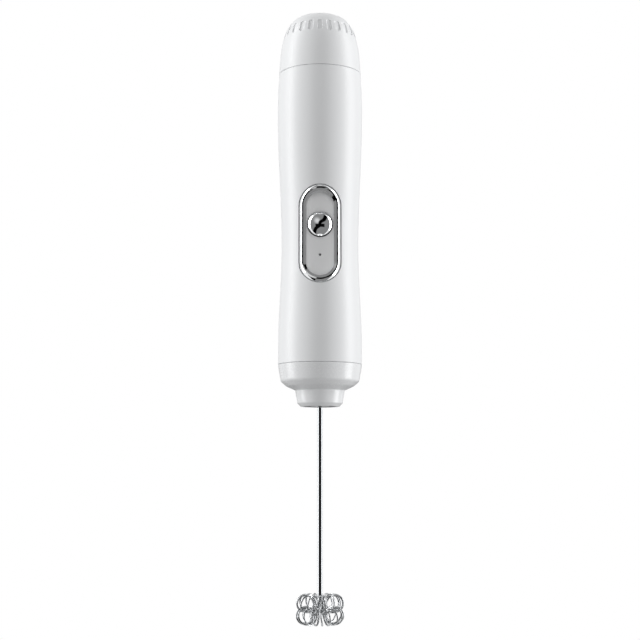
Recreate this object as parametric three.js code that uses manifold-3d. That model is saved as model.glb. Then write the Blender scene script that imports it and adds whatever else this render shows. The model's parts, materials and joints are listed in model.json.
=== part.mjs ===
// Rechargeable milk frother: a waisted grip with a twist-off end cap, a chrome push
// button in a stadium bezel, and a motor that spins a rod with a double coil whisk.
// Millimetres, +Z up towards the cap, button facing -Y. The origin is on the axis at
// the waist of the grip, where a hand or a stand holds it.

import * as THREE from "three";
import { mergeVertices } from "three/addons/utils/BufferGeometryUtils.js";
import Module from "manifold-3d";

const wasm = await Module();
wasm.setup();

// ---------- Driving dimensions ----------

// Grip: the outer line from the nose seam up to the cap seam. It is widest at the upper
// bulge, a little slimmer at the lower one, and drawn in at the waist between them.
const GRIP_RADIUS = 17.2;
const WAIST_DEPTH = 1.7;
const CAP_TAPER = 0.5;
const LOWER_BULGE_INSET = 0.4;
const UPPER_BULGE_Z = 56.4;
const LOWER_BULGE_Z = -40;
const NOSE_SEAM_Z = -46.9;
const WALL = 1.8;
const SEAM_WIDTH = 0.35;
const SEAM_CHAMFER = 0.3;

// End cap: a tapered superellipse dome with finger flutes round its shoulder.
const CAP_HEIGHT = 24.8;
const CAP_DRAFT = 1.4;
const CAP_FULLNESS = 3.4;
const CAP_WALL = 1.9;
const FLUTE_COUNT = 24;
const FLUTE_WIDTH = 2.1;
const FLUTE_DEPTH = 1;
const FLUTE_TOP_DEPTH = 0.4;
const FLUTE_BOTTOM = 14.4;
const FLUTE_TOP = 19.3;

// Bayonet between the end frame's neck and the cap.
const CAP_SKIRT_WALL = 2.75;
const NECK_WALL = 2.8;
const NECK_HEIGHT = 7.5;
const LUG_COUNT = 2;
const LUG_WIDTH = 4;
const LUG_HEIGHT = 1.4;
const LUG_REACH = 1.2;
const LUG_BASE = 3;
const TWIST_FLUTES = 2;
const BAYONET_PLAY = 0.4;
const GASKET_THICKNESS = 0.8;
const GASKET_WIDTH = 2.2;
const NECK_SEAL_SECTION = 1;
const NECK_SEAL_Z = 1.3;

// End frame, charging socket and its board.
const RIM_LEDGE_WIDTH = 1.1;
const RIM_LEDGE_DEPTH = 1.4;
const FRAME_SKIRT_LENGTH = 13.1;
const FRAME_SKIRT_WALL = 1.6;
const FRAME_FLOOR_TOP = -0.6;
const FRAME_FLOOR_THICKNESS = 1.6;
const SOCKET_WIDTH = 8.9;
const SOCKET_HEIGHT = 3.3;
const SOCKET_DEPTH = 6.5;
const SOCKET_WALL = 0.3;
const TONGUE_WIDTH = 6.6;
const TONGUE_THICKNESS = 0.7;
const TONGUE_LENGTH = 5;
const POST_RADIUS = 2.2;
const POST_INSET = 3;
const CHARGE_SCREW_GRIP = 3.4;
const BOARD_THICKNESS = 1.2;

// Bezel, panel and push button on the front.
const PANEL_CENTRE_Z = 4;
const PANEL_RECESS = 2.5;
const PANEL_THICKNESS = 1.2;
const PANEL_TUCK = 0.7;
const BEZEL_WIDTH = 16.6;
const BEZEL_HEIGHT = 39.1;
const BEZEL_RIM = 2.7;
const BEZEL_BEVEL = 1.4;
const BEZEL_PROUD = 0.5;
const BEZEL_LIP = 0.3;
const BOSS_WALL = 1.2;
const BOSS_DEPTH = 3.3;
const BUTTON_RADIUS = 4.9;
const BUTTON_CROWN = 3.6;
const BUTTON_ABOVE_CENTRE = 4;
const BUTTON_TRAVEL = 0.6;
const BUTTON_FLANGE_WIDTH = 0.75;
const BUTTON_FLANGE_THICKNESS = 0.8;
const STEM_RADIUS = 1.5;
const STEM_REACH = 0.6;
const STEM_SEAL_SECTION = 0.7;
const PINHOLE_RADIUS = 0.4;
const PINHOLE_BELOW_CENTRE = 8.2;
const LIGHT_PIPE_RADIUS = 1;
const SWITCH_SIZE = 6;
const SWITCH_HEIGHT = 3.1;
const SWITCH_CLEARANCE = 3.6;
const PLUNGER_RADIUS = 1.2;
const PLUNGER_PROUD = 0.9;
const PLUNGER_LENGTH = 1.9;
const LED_SIZE = 2.2;
const LED_HEIGHT = 1;

// Chassis, control board and battery cell.
const CHASSIS_WALL = 1.4;
const RIB_THICKNESS = 1.4;
const CONTROL_BOARD_EDGE = 1.6;
const RAIL_WIDTH = 3;
const RAIL_DEPTH = 3.6;
const BATTERY_RADIUS = 7;
const BATTERY_LENGTH = 43;
const BATTERY_CLEARANCE = 3.3;
const BATTERY_SETBACK = 1.7;
const BATTERY_TIP_RADIUS = 2.8;
const BATTERY_TIP_HEIGHT = 1;
const SLEEVE_WALL = 1.3;
const FLANGE_COUNT = 3;
const TAB_THICKNESS = 0.4;
const TAB_WIDTH = 6;
const LEAD_RADIUS = 0.55;
const PAD_INSET = 4;
const PAD_RUN = 3.5;
const PAD_PITCH = 5;
const BOARD_SCREW_INSET_X = 1.6;
const BOARD_SCREW_INSET_Z = 3;
const BOARD_SCREW_GRIP = 3;
const SCREW_RADIUS = 0.85;
const SCREW_HEAD_RADIUS = 1.9;
const SCREW_HEAD_HEIGHT = 1.1;

// Motor. A share is a part of the can's width, and the hub's is a part of the rotor's radius.
const MOTOR_WIDTH = 20.1;
const MOTOR_FLAT_DEPTH = 2.5;
const CAN_LENGTH = 22.3;
const CAN_WALL = 0.8;
const END_BELL_LENGTH = 2.4;
const CAN_BOSS_RADIUS = 3.05;
const MOTOR_BOSS_LENGTH = 1.6;
const BUSH_WALL = 1.1;
const SHAFT_RADIUS = 1;
const SHAFT_REACH = 7.2;
const MAGNET_SHARE = 0.125;
const MAGNET_LENGTH = 17;
const AIR_GAP = 0.4;
const POLE_COUNT = 3;
const POLE_SPREAD = 0.42;
const ROTOR_LENGTH = 11;
const ROTOR_HUB_SHARE = 0.4;
const POLE_SHOE_SHARE = 0.06;
const POLE_ARM_SHARE = 0.1;
const WINDING_SHARE = 0.055;
const COMMUTATOR_RADIUS = 2.2;
const COMMUTATOR_LENGTH = 3;
const BRUSH_INSET = 2;
const TERMINAL_WIDTH = 2.4;
const TERMINAL_REACH = 2;

// Nose cone with its collar, seals and bush.
const NOSE_DEPTH = 10.8;
const NOSE_DRAFT = 1.25;
const NOSE_FULLNESS = 3.55;
const COLLAR_TOP_RADIUS = 9.85;
const COLLAR_BOTTOM_RADIUS = 9.05;
const COLLAR_LENGTH = 16.75;
const COLLAR_CHAMFER = 1.3;
const COLLAR_CORE_WIDTH = 2.4;
const SPIGOT_LENGTH = 5;
const NOSE_SEAL_SECTION = 0.9;
const SHAFT_SEAL_RADIUS = 6.8;
const SHAFT_SEAL_THICKNESS = 0.7;
const SHAFT_SEAL_RECESS = 1;
const NOSE_BUSH_RADIUS = 2.4;
const NOSE_BUSH_FLANGE = 4;
const NOSE_BUSH_LENGTH = 5.4;

// Whisk: coupling, rod and the double coil head.
const COUPLING_RADIUS = 2.6;
const COUPLING_LENGTH = 10.2;
const ROD_RADIUS = 1.1;
const WHISK_CENTRE_Z = -143.35;
const WHISK_DIAMETER = 19.2;
const RING_WIRE = 0.9;
const COIL_WIRE = 0.6;
const COIL_ROD_GAP = 1;
const COIL_RING_GAP = 0.1;
const COIL_TURN_GAP = 0.08;

// Clearances: between parts that are fitted together, and round anything that turns.
const FIT = 0.3;
const SLIP = 0.15;

// Facets round the large outer forms, round the hidden bores and round small pins.
const OUTER_FACETS = 40;
const INNER_FACETS = 20;
const SMALL_FACETS = 12;
const PIN_FACETS = 8;
const WIRE_FACETS = 5;
const ARC_STEPS = 6;
const SMALL_ARC_STEPS = 3;
const COIL_STEPS_PER_TURN = 7;

// ---------- Finishes ----------

const WHITE_SATIN = { color: 0xe9ebec, roughness: 0.42, metalness: 0 };
const WHITE_GLOSS = { color: 0xe6e8e9, roughness: 0.22, metalness: 0 };
const GREY_PANEL = { color: 0xb8b9bb, roughness: 0.4, metalness: 0 };
const CHROME = { color: 0xdcdee0, roughness: 0.06, metalness: 1 };
const STEEL = { color: 0xb9bcc0, roughness: 0.3, metalness: 1 };
const BRASS = { color: 0xc9a558, roughness: 0.3, metalness: 1 };
const COPPER = { color: 0xb66a3c, roughness: 0.35, metalness: 1 };
const NICKEL = { color: 0xc4c2ba, roughness: 0.35, metalness: 1 };
const IRON = { color: 0x5b5c60, roughness: 0.6, metalness: 0.8 };
const MAGNET = { color: 0x3b3d42, roughness: 0.7, metalness: 0.2 };
const DARK_RUBBER = { color: 0x4a4b4d, roughness: 0.8, metalness: 0 };
const SILICONE = { color: 0xd4d6d8, roughness: 0.6, metalness: 0 };
const CHASSIS_PLASTIC = { color: 0xcfd1d2, roughness: 0.6, metalness: 0 };
const BLACK_PLASTIC = { color: 0x232427, roughness: 0.5, metalness: 0 };
const CLEAR_PLASTIC = { color: 0xdfe4e8, roughness: 0.15, metalness: 0 };
const BOARD_GREEN = { color: 0x2f6b45, roughness: 0.5, metalness: 0 };
const CELL_WRAP = { color: 0x5f87a8, roughness: 0.35, metalness: 0 };
const RED_WIRE = { color: 0xb8352f, roughness: 0.5, metalness: 0 };
const BLACK_WIRE = { color: 0x2b2b2d, roughness: 0.5, metalness: 0 };

// ---------- Geometry tools ----------

const WELD = 1e-4;
const FULL_TURN = 2 * Math.PI;
const QUARTER_TURN = Math.PI / 2;

// How far a cutter runs past the face it cuts, and a distance outside everything.
const PAST = 1;
const BEYOND = 40;

// Six times the signed volume of a triangle list: negative where faces point inwards.
function signedVolume(positions, triangles) {
  const corner = (i) => new THREE.Vector3().fromArray(positions, 3 * triangles[i]);
  let sum = 0;
  for (let i = 0; i < triangles.length; i += 3) {
    sum += corner(i).dot(corner(i + 1).cross(corner(i + 2)));
  }
  return sum;
}

// A closed geometry as a solid: vertices welded, slivers dropped, faces outwards.
function toSolid(geometry) {
  const bare = geometry.clone();
  bare.deleteAttribute("normal");
  bare.deleteAttribute("uv");
  const welded = mergeVertices(bare, WELD);
  const positions = new Float32Array(welded.attributes.position.array);
  const index = welded.index.array;
  const triangles = [];
  for (let i = 0; i < index.length; i += 3) {
    const [a, b, c] = [index[i], index[i + 1], index[i + 2]];
    if (a !== b && b !== c && c !== a) triangles.push(a, b, c);
  }
  if (signedVolume(positions, triangles) < 0) triangles.reverse();
  const triVerts = new Uint32Array(triangles);
  return new wasm.Manifold(new wasm.Mesh({ numProp: 3, vertProperties: positions, triVerts }));
}

function toGeometry(solid) {
  const mesh = solid.getMesh();
  const geometry = new THREE.BufferGeometry();
  geometry.setAttribute("position", new THREE.BufferAttribute(mesh.vertProperties, 3));
  geometry.setIndex(new THREE.BufferAttribute(mesh.triVerts, 1));
  geometry.computeVertexNormals();
  return geometry;
}

function combine(operation, first, others) {
  let solid = toSolid(first);
  for (const other of others) solid = solid[operation](toSolid(other));
  return toGeometry(solid);
}

const join = (first, ...others) => combine("add", first, others);
const cut = (first, ...others) => combine("subtract", first, others);
const common = (first, ...others) => combine("intersect", first, others);

// A profile of [radius, height] points turned about Z. It runs from axis to axis, or is
// closed here on its first point.
function revolve(profile, facets = SMALL_FACETS) {
  const last = profile[profile.length - 1];
  const open = profile[0][0] > 0 || last[0] > 0;
  const outline = open ? [...profile, profile[0]] : profile;
  const lathe = new THREE.LatheGeometry(outline.map(([r, z]) => new THREE.Vector2(r, z)), facets);
  return lathe.rotateX(QUARTER_TURN);
}

const disc = (radius, bottom, top, facets) =>
  revolve([[0, bottom], [radius, bottom], [radius, top], [0, top]], facets);

const tube = (inner, outer, bottom, top, facets) =>
  revolve([[inner, bottom], [outer, bottom], [outer, top], [inner, top]], facets);

// A ring of round section about Z.
function roundRing(radius, section, z, facets = SMALL_FACETS) {
  return new THREE.TorusGeometry(radius, section / 2, WIRE_FACETS, facets).translate(0, 0, z);
}

// A box given by its lowest and highest corners.
function block(low, high) {
  const [a, b] = [new THREE.Vector3(...low), new THREE.Vector3(...high)];
  const size = b.clone().sub(a);
  const centre = a.add(b).multiplyScalar(0.5);
  return new THREE.BoxGeometry(size.x, size.y, size.z).translate(centre.x, centre.y, centre.z);
}

function extrude(shape, bottom, top, curveSegments = SMALL_FACETS) {
  const options = { depth: top - bottom, bevelEnabled: false, curveSegments };
  return new THREE.ExtrudeGeometry(shape, options).translate(0, 0, bottom);
}

// A stadium outline standing upright: two half circles joined by straight sides.
function stadium(width, height) {
  const radius = width / 2;
  const rise = height / 2 - radius;
  const shape = new THREE.Shape();
  shape.moveTo(radius, -rise);
  shape.lineTo(radius, rise);
  shape.absarc(0, rise, radius, 0, Math.PI, false);
  shape.lineTo(-radius, -rise);
  shape.absarc(0, -rise, radius, Math.PI, FULL_TURN, false);
  return shape;
}

// The section of a flat-sided motor: a circle of the given width cut by two flats.
function flatSided(width, flats, grow = 0) {
  const radius = width / 2 + grow;
  const angle = Math.asin((flats / 2 + grow) / radius);
  const shape = new THREE.Shape();
  shape.absarc(0, 0, radius, -angle, angle, false);
  shape.absarc(0, 0, radius, Math.PI - angle, Math.PI + angle, false);
  return shape;
}

// A wire or lead of the given radius along a curve.
function wire(curve, radius, steps, sides = WIRE_FACETS) {
  const corners = [];
  for (let i = 0; i < sides; i += 1) {
    const angle = (FULL_TURN * i) / sides;
    corners.push(new THREE.Vector2(radius * Math.cos(angle), radius * Math.sin(angle)));
  }
  const options = { steps, extrudePath: curve, bevelEnabled: false };
  return new THREE.ExtrudeGeometry(new THREE.Shape(corners), options);
}

const through = (...points) => new THREE.CatmullRomCurve3(points.map((p) => new THREE.Vector3(...p)));

// A screw standing on its tip: a shank up to the seat and a flat head on it.
function screw(tip, seat) {
  return revolve(
    [
      [0, tip],
      [SCREW_RADIUS, tip],
      [SCREW_RADIUS, seat],
      [SCREW_HEAD_RADIUS, seat],
      [SCREW_HEAD_RADIUS, seat + SCREW_HEAD_HEIGHT],
      [0, seat + SCREW_HEAD_HEIGHT],
    ],
    PIN_FACETS,
  );
}

// A dome profile from its equator to its pole: a superellipse whose radius also loses
// "draft" on the way up. The angle steps evenly, so points gather where it curves most.
function dome(radius, height, fullness, draft, steps) {
  const points = [];
  for (let i = 0; i <= steps; i += 1) {
    const angle = (QUARTER_TURN * i) / steps;
    const rise = Math.sin(angle) ** (2 / fullness);
    const spread = i === steps ? 0 : Math.cos(angle) ** (2 / fullness);
    points.push([(radius - draft * rise) * spread, height * rise]);
  }
  return points;
}

// Left and right.
const sides = [-1, 1];

const group = new THREE.Group();

function addGroup(parent, z = 0) {
  const child = new THREE.Group();
  child.position.z = z;
  parent.add(child);
  child.updateWorldMatrix(true, false);
  return child;
}

function addPiece(parent, name, geometry, finish) {
  const mesh = new THREE.Mesh(toGeometry(toSolid(geometry)), new THREE.MeshStandardMaterial(finish));
  mesh.name = name;
  parent.add(mesh);
}

// A geometry made in one group's frame, as seen from the part's own frame, and back.
const outOf = (frame, geometry) => geometry.clone().applyMatrix4(frame.matrixWorld);
const into = (frame, geometry) => geometry.clone().applyMatrix4(frame.matrixWorld.clone().invert());

// ---------- Length of the grip ----------

// Levels up the axis, from the switch past the battery and the charging board to the cap
// seam, so that the grip is as long as what it holds.
const switchZ = PANEL_CENTRE_Z + BUTTON_ABOVE_CENTRE;
const boardTop = switchZ + SWITCH_SIZE / 2 + SWITCH_CLEARANCE;
const batteryRib = boardTop + FIT;
const lowerTab = batteryRib + RIB_THICKNESS + FIT;
const batteryBottom = lowerTab + TAB_THICKNESS + FIT;
const batteryTop = batteryBottom + BATTERY_LENGTH;
const upperTab = batteryTop + FIT;
const chargeBoardTop = FRAME_FLOOR_TOP - SOCKET_DEPTH - FIT;
const chargeBoardBottom = chargeBoardTop - BOARD_THICKNESS;
const capSeamZ = batteryTop + BATTERY_CLEARANCE - chargeBoardBottom;

// ---------- Frames ----------

const grip = addGroup(group);
const end = addGroup(group, capSeamZ);
const nose = addGroup(group, NOSE_SEAM_Z);
const whiskHead = addGroup(group, WHISK_CENTRE_Z);

// The front frame: x across, y up the grip, z straight out of the panel. Heights in it
// are distances in front of the axis.
const front = addGroup(group, PANEL_CENTRE_Z);
front.rotation.x = QUARTER_TURN;
front.updateWorldMatrix(true, false);

// ---------- Outlines and levels ----------

const capSeamRadius = GRIP_RADIUS - CAP_TAPER;
const noseSeamRadius = GRIP_RADIUS - LOWER_BULGE_INSET;
const waistRadius = GRIP_RADIUS - WAIST_DEPTH;
const cosineBlend = (t) => (1 - Math.cos(Math.PI * t)) / 2;

// Outer radius of the grip: cosine blends from the waist to each bulge, then a parabola in
// to the cap seam, and straight down to the nose seam.
function gripRadius(z) {
  if (z > UPPER_BULGE_Z) {
    return GRIP_RADIUS - CAP_TAPER * ((z - UPPER_BULGE_Z) / (capSeamZ - UPPER_BULGE_Z)) ** 2;
  }
  if (z > 0) return waistRadius + WAIST_DEPTH * cosineBlend(z / UPPER_BULGE_Z);
  if (z < LOWER_BULGE_Z) return noseSeamRadius;
  return waistRadius + (noseSeamRadius - waistRadius) * cosineBlend(z / LOWER_BULGE_Z);
}

// The grip's line between two heights, drawn in by an inset. It steps evenly and also
// stops at each bulge on the way.
function gripLine(from, to, inset, steps) {
  const heights = [from, LOWER_BULGE_Z, UPPER_BULGE_Z, to].filter((z) => z >= from && z <= to);
  const step = (to - from) / steps;
  for (let i = 1; i < steps; i += 1) {
    const z = from + step * i;
    if (heights.every((stop) => Math.abs(stop - z) > step / 2)) heights.push(z);
  }
  return heights.sort((a, b) => a - b).map((z) => [gripRadius(z) - inset, z]);
}

const gripTop = capSeamZ - SEAM_WIDTH / 2;
const gripBottom = NOSE_SEAM_Z + SEAM_WIDTH / 2;

// Heights in the front frame, from the panel's face inwards to the control board.
const panelFace = gripRadius(PANEL_CENTRE_Z) - PANEL_RECESS;
const panelBack = panelFace - PANEL_THICKNESS;
const pocketFloor = panelBack - FIT;
const flangeBack = pocketFloor - BUTTON_FLANGE_THICKNESS;
const flangePocketFloor = flangeBack - BUTTON_TRAVEL - FIT;
const bossBack = pocketFloor - BOSS_DEPTH;
const sealCentre = (flangePocketFloor + bossBack) / 2;
const stemEnd = bossBack - STEM_REACH;
const plungerFront = stemEnd - FIT;
const switchFront = plungerFront - PLUNGER_PROUD;
const switchBack = switchFront - SWITCH_HEIGHT;
const boardFront = switchBack - FIT;
const ledFront = boardFront + FIT + LED_HEIGHT;
const boardBack = boardFront - BOARD_THICKNESS;
const railFront = boardBack - FIT;
const flangeRadius = BUTTON_RADIUS + BUTTON_FLANGE_WIDTH;
const pinholeY = -PINHOLE_BELOW_CENTRE;

// Levels at the cap end, above and below the cap seam.
const frameRim = -SEAM_WIDTH / 2;
const neckRadius = capSeamRadius - CAP_SKIRT_WALL - FIT;
const neckBore = neckRadius - NECK_WALL;
const skirtRadius = capSeamRadius - WALL - FIT - SLIP;
const skirtBore = skirtRadius - FRAME_SKIRT_WALL;
const chargeBoardRadius = skirtBore - 2 * FIT;
const postSpread = chargeBoardRadius - POST_INSET;
const capBore = neckRadius + FIT;
const gasketBottom = NECK_HEIGHT + FIT;
const gasketTop = gasketBottom + GASKET_THICKNESS;
const floorBottom = FRAME_FLOOR_TOP - FRAME_FLOOR_THICKNESS;
const twistAngle = (TWIST_FLUTES * FULL_TURN) / FLUTE_COUNT;

// Chassis levels along the axis.
const chassisRadius = waistRadius - WALL - FIT - SLIP / 3;
const boardHalf = Math.sqrt(chassisRadius ** 2 - boardFront ** 2) - CONTROL_BOARD_EDGE;
const chassisBottom = NOSE_SEAM_Z + FIT;
const canFront = chassisBottom + CHASSIS_WALL + FIT;
const canBack = canFront + CAN_LENGTH;
const bellBack = canBack + FIT + END_BELL_LENGTH;
const cradleTop = bellBack + TERMINAL_REACH + 2 * FIT;
const boardBottom = cradleTop + 2 * FIT;
const chassisTop = capSeamZ - FRAME_SKIRT_LENGTH - FIT;
const sleeveRadius = BATTERY_RADIUS + FIT + SLEEVE_WALL;
const boardScrewX = boardHalf - BOARD_SCREW_INSET_X;
const boardScrews = [-1, 1].map((side) => [side * boardScrewX, boardBottom + BOARD_SCREW_INSET_Z]);
const boardLeadY = boardFront + FIT / 2 + LEAD_RADIUS;
const chassisFlat = bossBack - FIT;
const leadX = sleeveRadius - FIT;
const leadY = boardLeadY + LEAD_RADIUS;
const terminalX = MOTOR_WIDTH / 4;
const motorFlats = MOTOR_WIDTH - 2 * MOTOR_FLAT_DEPTH;

// Levels at the nose, below the nose seam.
const noseSpigotRadius = noseSeamRadius - WALL - FIT;
const collarBottom = -COLLAR_LENGTH;
const bushSeat = collarBottom + SHAFT_SEAL_RECESS;
const bushTop = bushSeat + NOSE_BUSH_LENGTH;
const couplingBottom = bushTop + FIT + SLIP;
const couplingTop = couplingBottom + COUPLING_LENGTH;
const shaftBore = SHAFT_RADIUS + FIT;
const shaftEnd = canFront - MOTOR_BOSS_LENGTH - SHAFT_REACH;
const rodTop = shaftEnd - 2 * FIT;
const couplingBore = COUPLING_RADIUS + 2 * FIT + SLIP;
const noseSealZ = SPIGOT_LENGTH / 2 + SEAM_WIDTH;
const coreInner = couplingBore + CHASSIS_WALL;

// Whisk head: the coils just clear the rod inside and reach the whisk's diameter outside.
const ringRadius = (WHISK_DIAMETER / 2 + ROD_RADIUS + COIL_ROD_GAP) / 2;
const coilRadius = (WHISK_DIAMETER / 2 - ROD_RADIUS - COIL_ROD_GAP - COIL_WIRE) / 2;
const coilOffset = coilRadius - (RING_WIRE + COIL_WIRE) / 2 - COIL_RING_GAP;
const crossingRadius = ringRadius - Math.sqrt(coilRadius ** 2 - coilOffset ** 2);
const coilPitchLength = 2 * (COIL_WIRE + COIL_TURN_GAP);
const coilTurns = Math.floor((FULL_TURN * crossingRadius) / coilPitchLength);
const coilPitch = FULL_TURN / coilTurns;

// ---------- Grip shell ----------

// The waisted tube, with a counterbore at its top rim for the end frame's flange.
function gripTube() {
  const ledge = capSeamZ - RIM_LEDGE_DEPTH;
  const outer = [
    [gripRadius(gripBottom) - SEAM_CHAMFER, gripBottom],
    ...gripLine(gripBottom + SEAM_CHAMFER, gripTop - SEAM_CHAMFER, 0, 10),
    [gripRadius(gripTop) - SEAM_CHAMFER, gripTop],
  ];
  const solid = revolve([[0, gripBottom], ...outer, [0, gripTop]], OUTER_FACETS);
  const bore = revolve(
    [[0, gripBottom - PAST], ...gripLine(gripBottom - PAST, gripTop + PAST, WALL, 5), [0, gripTop + PAST]],
    INNER_FACETS,
  );
  const counterbore = disc(capSeamRadius - RIM_LEDGE_WIDTH, ledge, capSeamZ + PAST, INNER_FACETS);
  return cut(solid, bore, counterbore);
}

// The thick boss behind the bezel, kept inside the middle of the wall.
function panelBoss() {
  const width = BEZEL_WIDTH + 2 * (SLIP + BOSS_WALL);
  const height = BEZEL_HEIGHT + 2 * (SLIP + BOSS_WALL);
  const body = extrude(stadium(width, height), bossBack, BEYOND, ARC_STEPS);
  const limit = disc(waistRadius - WALL / 2, gripBottom, gripTop, INNER_FACETS);
  return common(body, into(front, limit));
}

// What the boss is cut by: the bezel's pocket, the button's well, its stem hole with a
// gland for the seal, and the light pipe's hole.
function panelCuts() {
  const pocket = stadium(BEZEL_WIDTH + 2 * SLIP, BEZEL_HEIGHT + 2 * SLIP);
  const well = disc(flangeRadius + FIT, flangePocketFloor, pocketFloor + PAST);
  const stemHole = disc(STEM_RADIUS + FIT, bossBack - PAST, pocketFloor);
  const gland = disc(
    STEM_RADIUS + FIT + STEM_SEAL_SECTION,
    sealCentre - STEM_SEAL_SECTION / 2 - SLIP / 3,
    sealCentre + STEM_SEAL_SECTION / 2 + SLIP / 3,
  );
  const lightHole = disc(LIGHT_PIPE_RADIUS + SLIP, bossBack - PAST, pocketFloor + PAST);
  return [
    extrude(pocket, pocketFloor, BEYOND, ARC_STEPS),
    well.translate(0, BUTTON_ABOVE_CENTRE, 0),
    stemHole.translate(0, BUTTON_ABOVE_CENTRE, 0),
    gland.translate(0, BUTTON_ABOVE_CENTRE, 0),
    lightHole.translate(0, pinholeY, 0),
  ];
}

function handleShell() {
  const cuts = panelCuts().map((tool) => outOf(front, tool));
  return cut(join(gripTube(), outOf(front, panelBoss())), ...cuts);
}

// ---------- Front: bezel, panel and button ----------

// A stadium ring whose face follows the grip's curve a little proud of it, with a bevel
// down to the panel and a rebate behind its lip for the panel's edge.
function buttonBezel() {
  const openingWidth = BEZEL_WIDTH - 2 * BEZEL_RIM;
  const openingHeight = BEZEL_HEIGHT - 2 * BEZEL_RIM;
  const back = pocketFloor + FIT;
  const lipBack = panelFace + FIT;
  const [low, high] = [-1, 1].map((side) => PANEL_CENTRE_Z + side * (BEZEL_HEIGHT / 2 + PAST));
  const body = extrude(stadium(BEZEL_WIDTH, BEZEL_HEIGHT), back, BEYOND, ARC_STEPS);
  const face = revolve(
    [[0, low], ...gripLine(low, high, -BEZEL_PROUD, 6), [0, high]],
    OUTER_FACETS,
  );
  const bevel = new THREE.ExtrudeGeometry(stadium(openingWidth, openingHeight), {
    depth: BEYOND,
    bevelEnabled: true,
    bevelThickness: BEZEL_BEVEL,
    bevelSize: BEZEL_BEVEL,
    bevelSegments: 1,
    curveSegments: ARC_STEPS,
  });
  const opening = extrude(stadium(openingWidth, openingHeight), back - PAST, BEYOND, ARC_STEPS);
  const grow = 2 * (PANEL_TUCK + SLIP);
  const rebateShape = stadium(openingWidth + grow, openingHeight + grow);
  const rebate = extrude(rebateShape, back - PAST, lipBack, ARC_STEPS);
  const bevelStart = lipBack + BEZEL_LIP + BEZEL_BEVEL;
  return cut(common(body, into(front, face)), opening, rebate, bevel.translate(0, 0, bevelStart));
}

function buttonPanel() {
  const grow = 2 * (PANEL_TUCK - BEZEL_RIM);
  const plateShape = stadium(BEZEL_WIDTH + grow, BEZEL_HEIGHT + grow);
  const plate = extrude(plateShape, panelBack, panelFace, ARC_STEPS);
  const buttonHole = disc(BUTTON_RADIUS + SLIP, panelBack - PAST, panelFace + PAST, INNER_FACETS);
  const pinhole = disc(PINHOLE_RADIUS, panelBack - PAST, panelFace + PAST, PIN_FACETS);
  return cut(
    plate,
    buttonHole.translate(0, BUTTON_ABOVE_CENTRE, 0),
    pinhole.translate(0, pinholeY, 0),
  );
}

// A round crowned button on a skirt, with the flange that keeps it behind the panel and
// the stem that reaches the switch.
function button() {
  const crown = dome(BUTTON_RADIUS, BUTTON_CROWN, 2, 0, 6);
  const profile = [
    [0, stemEnd],
    [STEM_RADIUS, stemEnd],
    [STEM_RADIUS, flangeBack],
    [flangeRadius, flangeBack],
    [flangeRadius, pocketFloor],
    [BUTTON_RADIUS, pocketFloor],
    ...crown.map(([r, height]) => [r, panelFace + height]),
  ];
  return revolve(profile, INNER_FACETS).translate(0, BUTTON_ABOVE_CENTRE, 0);
}

function tactSwitch() {
  const half = SWITCH_SIZE / 2;
  const body = block([-half, -half, switchBack], [half, half, switchFront]);
  const well = disc(
    PLUNGER_RADIUS + FIT,
    plungerFront - PLUNGER_LENGTH - BUTTON_TRAVEL - SLIP,
    switchFront + PAST,
    PIN_FACETS,
  );
  return cut(body, well).translate(0, BUTTON_ABOVE_CENTRE, 0);
}

function addFront() {
  const sealRadius = STEM_RADIUS + (FIT + STEM_SEAL_SECTION) / 2;
  const seal = roundRing(sealRadius, STEM_SEAL_SECTION, sealCentre);
  const plunger = disc(PLUNGER_RADIUS, plungerFront - PLUNGER_LENGTH, plungerFront, PIN_FACETS);
  const pipe = disc(LIGHT_PIPE_RADIUS, ledFront + FIT, pocketFloor, PIN_FACETS);
  const half = LED_SIZE / 2;
  const led = block([-half, -half, ledFront - LED_HEIGHT], [half, half, ledFront]);
  addPiece(front, "button_bezel", buttonBezel(), CHROME);
  addPiece(front, "button_panel", buttonPanel(), GREY_PANEL);
  addPiece(front, "power_button", button(), CHROME);
  addPiece(front, "button_stem_seal", seal.translate(0, BUTTON_ABOVE_CENTRE, 0), SILICONE);
  addPiece(front, "tact_switch", tactSwitch(), BLACK_PLASTIC);
  addPiece(front, "switch_plunger", plunger.translate(0, BUTTON_ABOVE_CENTRE, 0), SILICONE);
  addPiece(front, "light_pipe", pipe.translate(0, pinholeY, 0), CLEAR_PLASTIC);
  addPiece(front, "status_led", led.translate(0, pinholeY, 0), CLEAR_PLASTIC);
}

// ---------- Cap end ----------

// One finger flute, as a rounded channel. Its floor stands more upright than the dome, so
// it is deepest at its foot and shallow at its top.
function fluteCutter() {
  const line = dome(capSeamRadius, CAP_HEIGHT, CAP_FULLNESS, CAP_DRAFT, 90);
  const nearest = (height) => line.find(([, z]) => z >= height);
  const half = FLUTE_WIDTH / 2;
  const [topRadius, topZ] = nearest(FLUTE_TOP);
  const [footRadius, footZ] = nearest(FLUTE_BOTTOM);
  const top = new THREE.Vector3(topRadius + half - FLUTE_TOP_DEPTH, 0, topZ);
  const foot = new THREE.Vector3(footRadius + half - FLUTE_DEPTH, 0, footZ);
  const along = foot.clone().sub(top);
  const capsule = new THREE.CapsuleGeometry(half, along.length(), 1, 6);
  const middle = top.add(foot).multiplyScalar(0.5);
  const turn = new THREE.Quaternion().setFromUnitVectors(new THREE.Vector3(0, 1, 0), along.normalize());
  return capsule.applyQuaternion(turn).translate(middle.x, middle.y, middle.z);
}

// A piece of a ring between two angles, as a pie slice cut from the ring.
function ringSector(inner, outer, bottom, top, from, to) {
  const shape = new THREE.Shape();
  shape.absarc(0, 0, outer, from, to, false);
  shape.absarc(0, 0, inner, to, from, true);
  return extrude(shape, bottom, top, SMALL_ARC_STEPS);
}

const lugAngle = (lug) => (FULL_TURN * lug) / LUG_COUNT;

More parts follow.
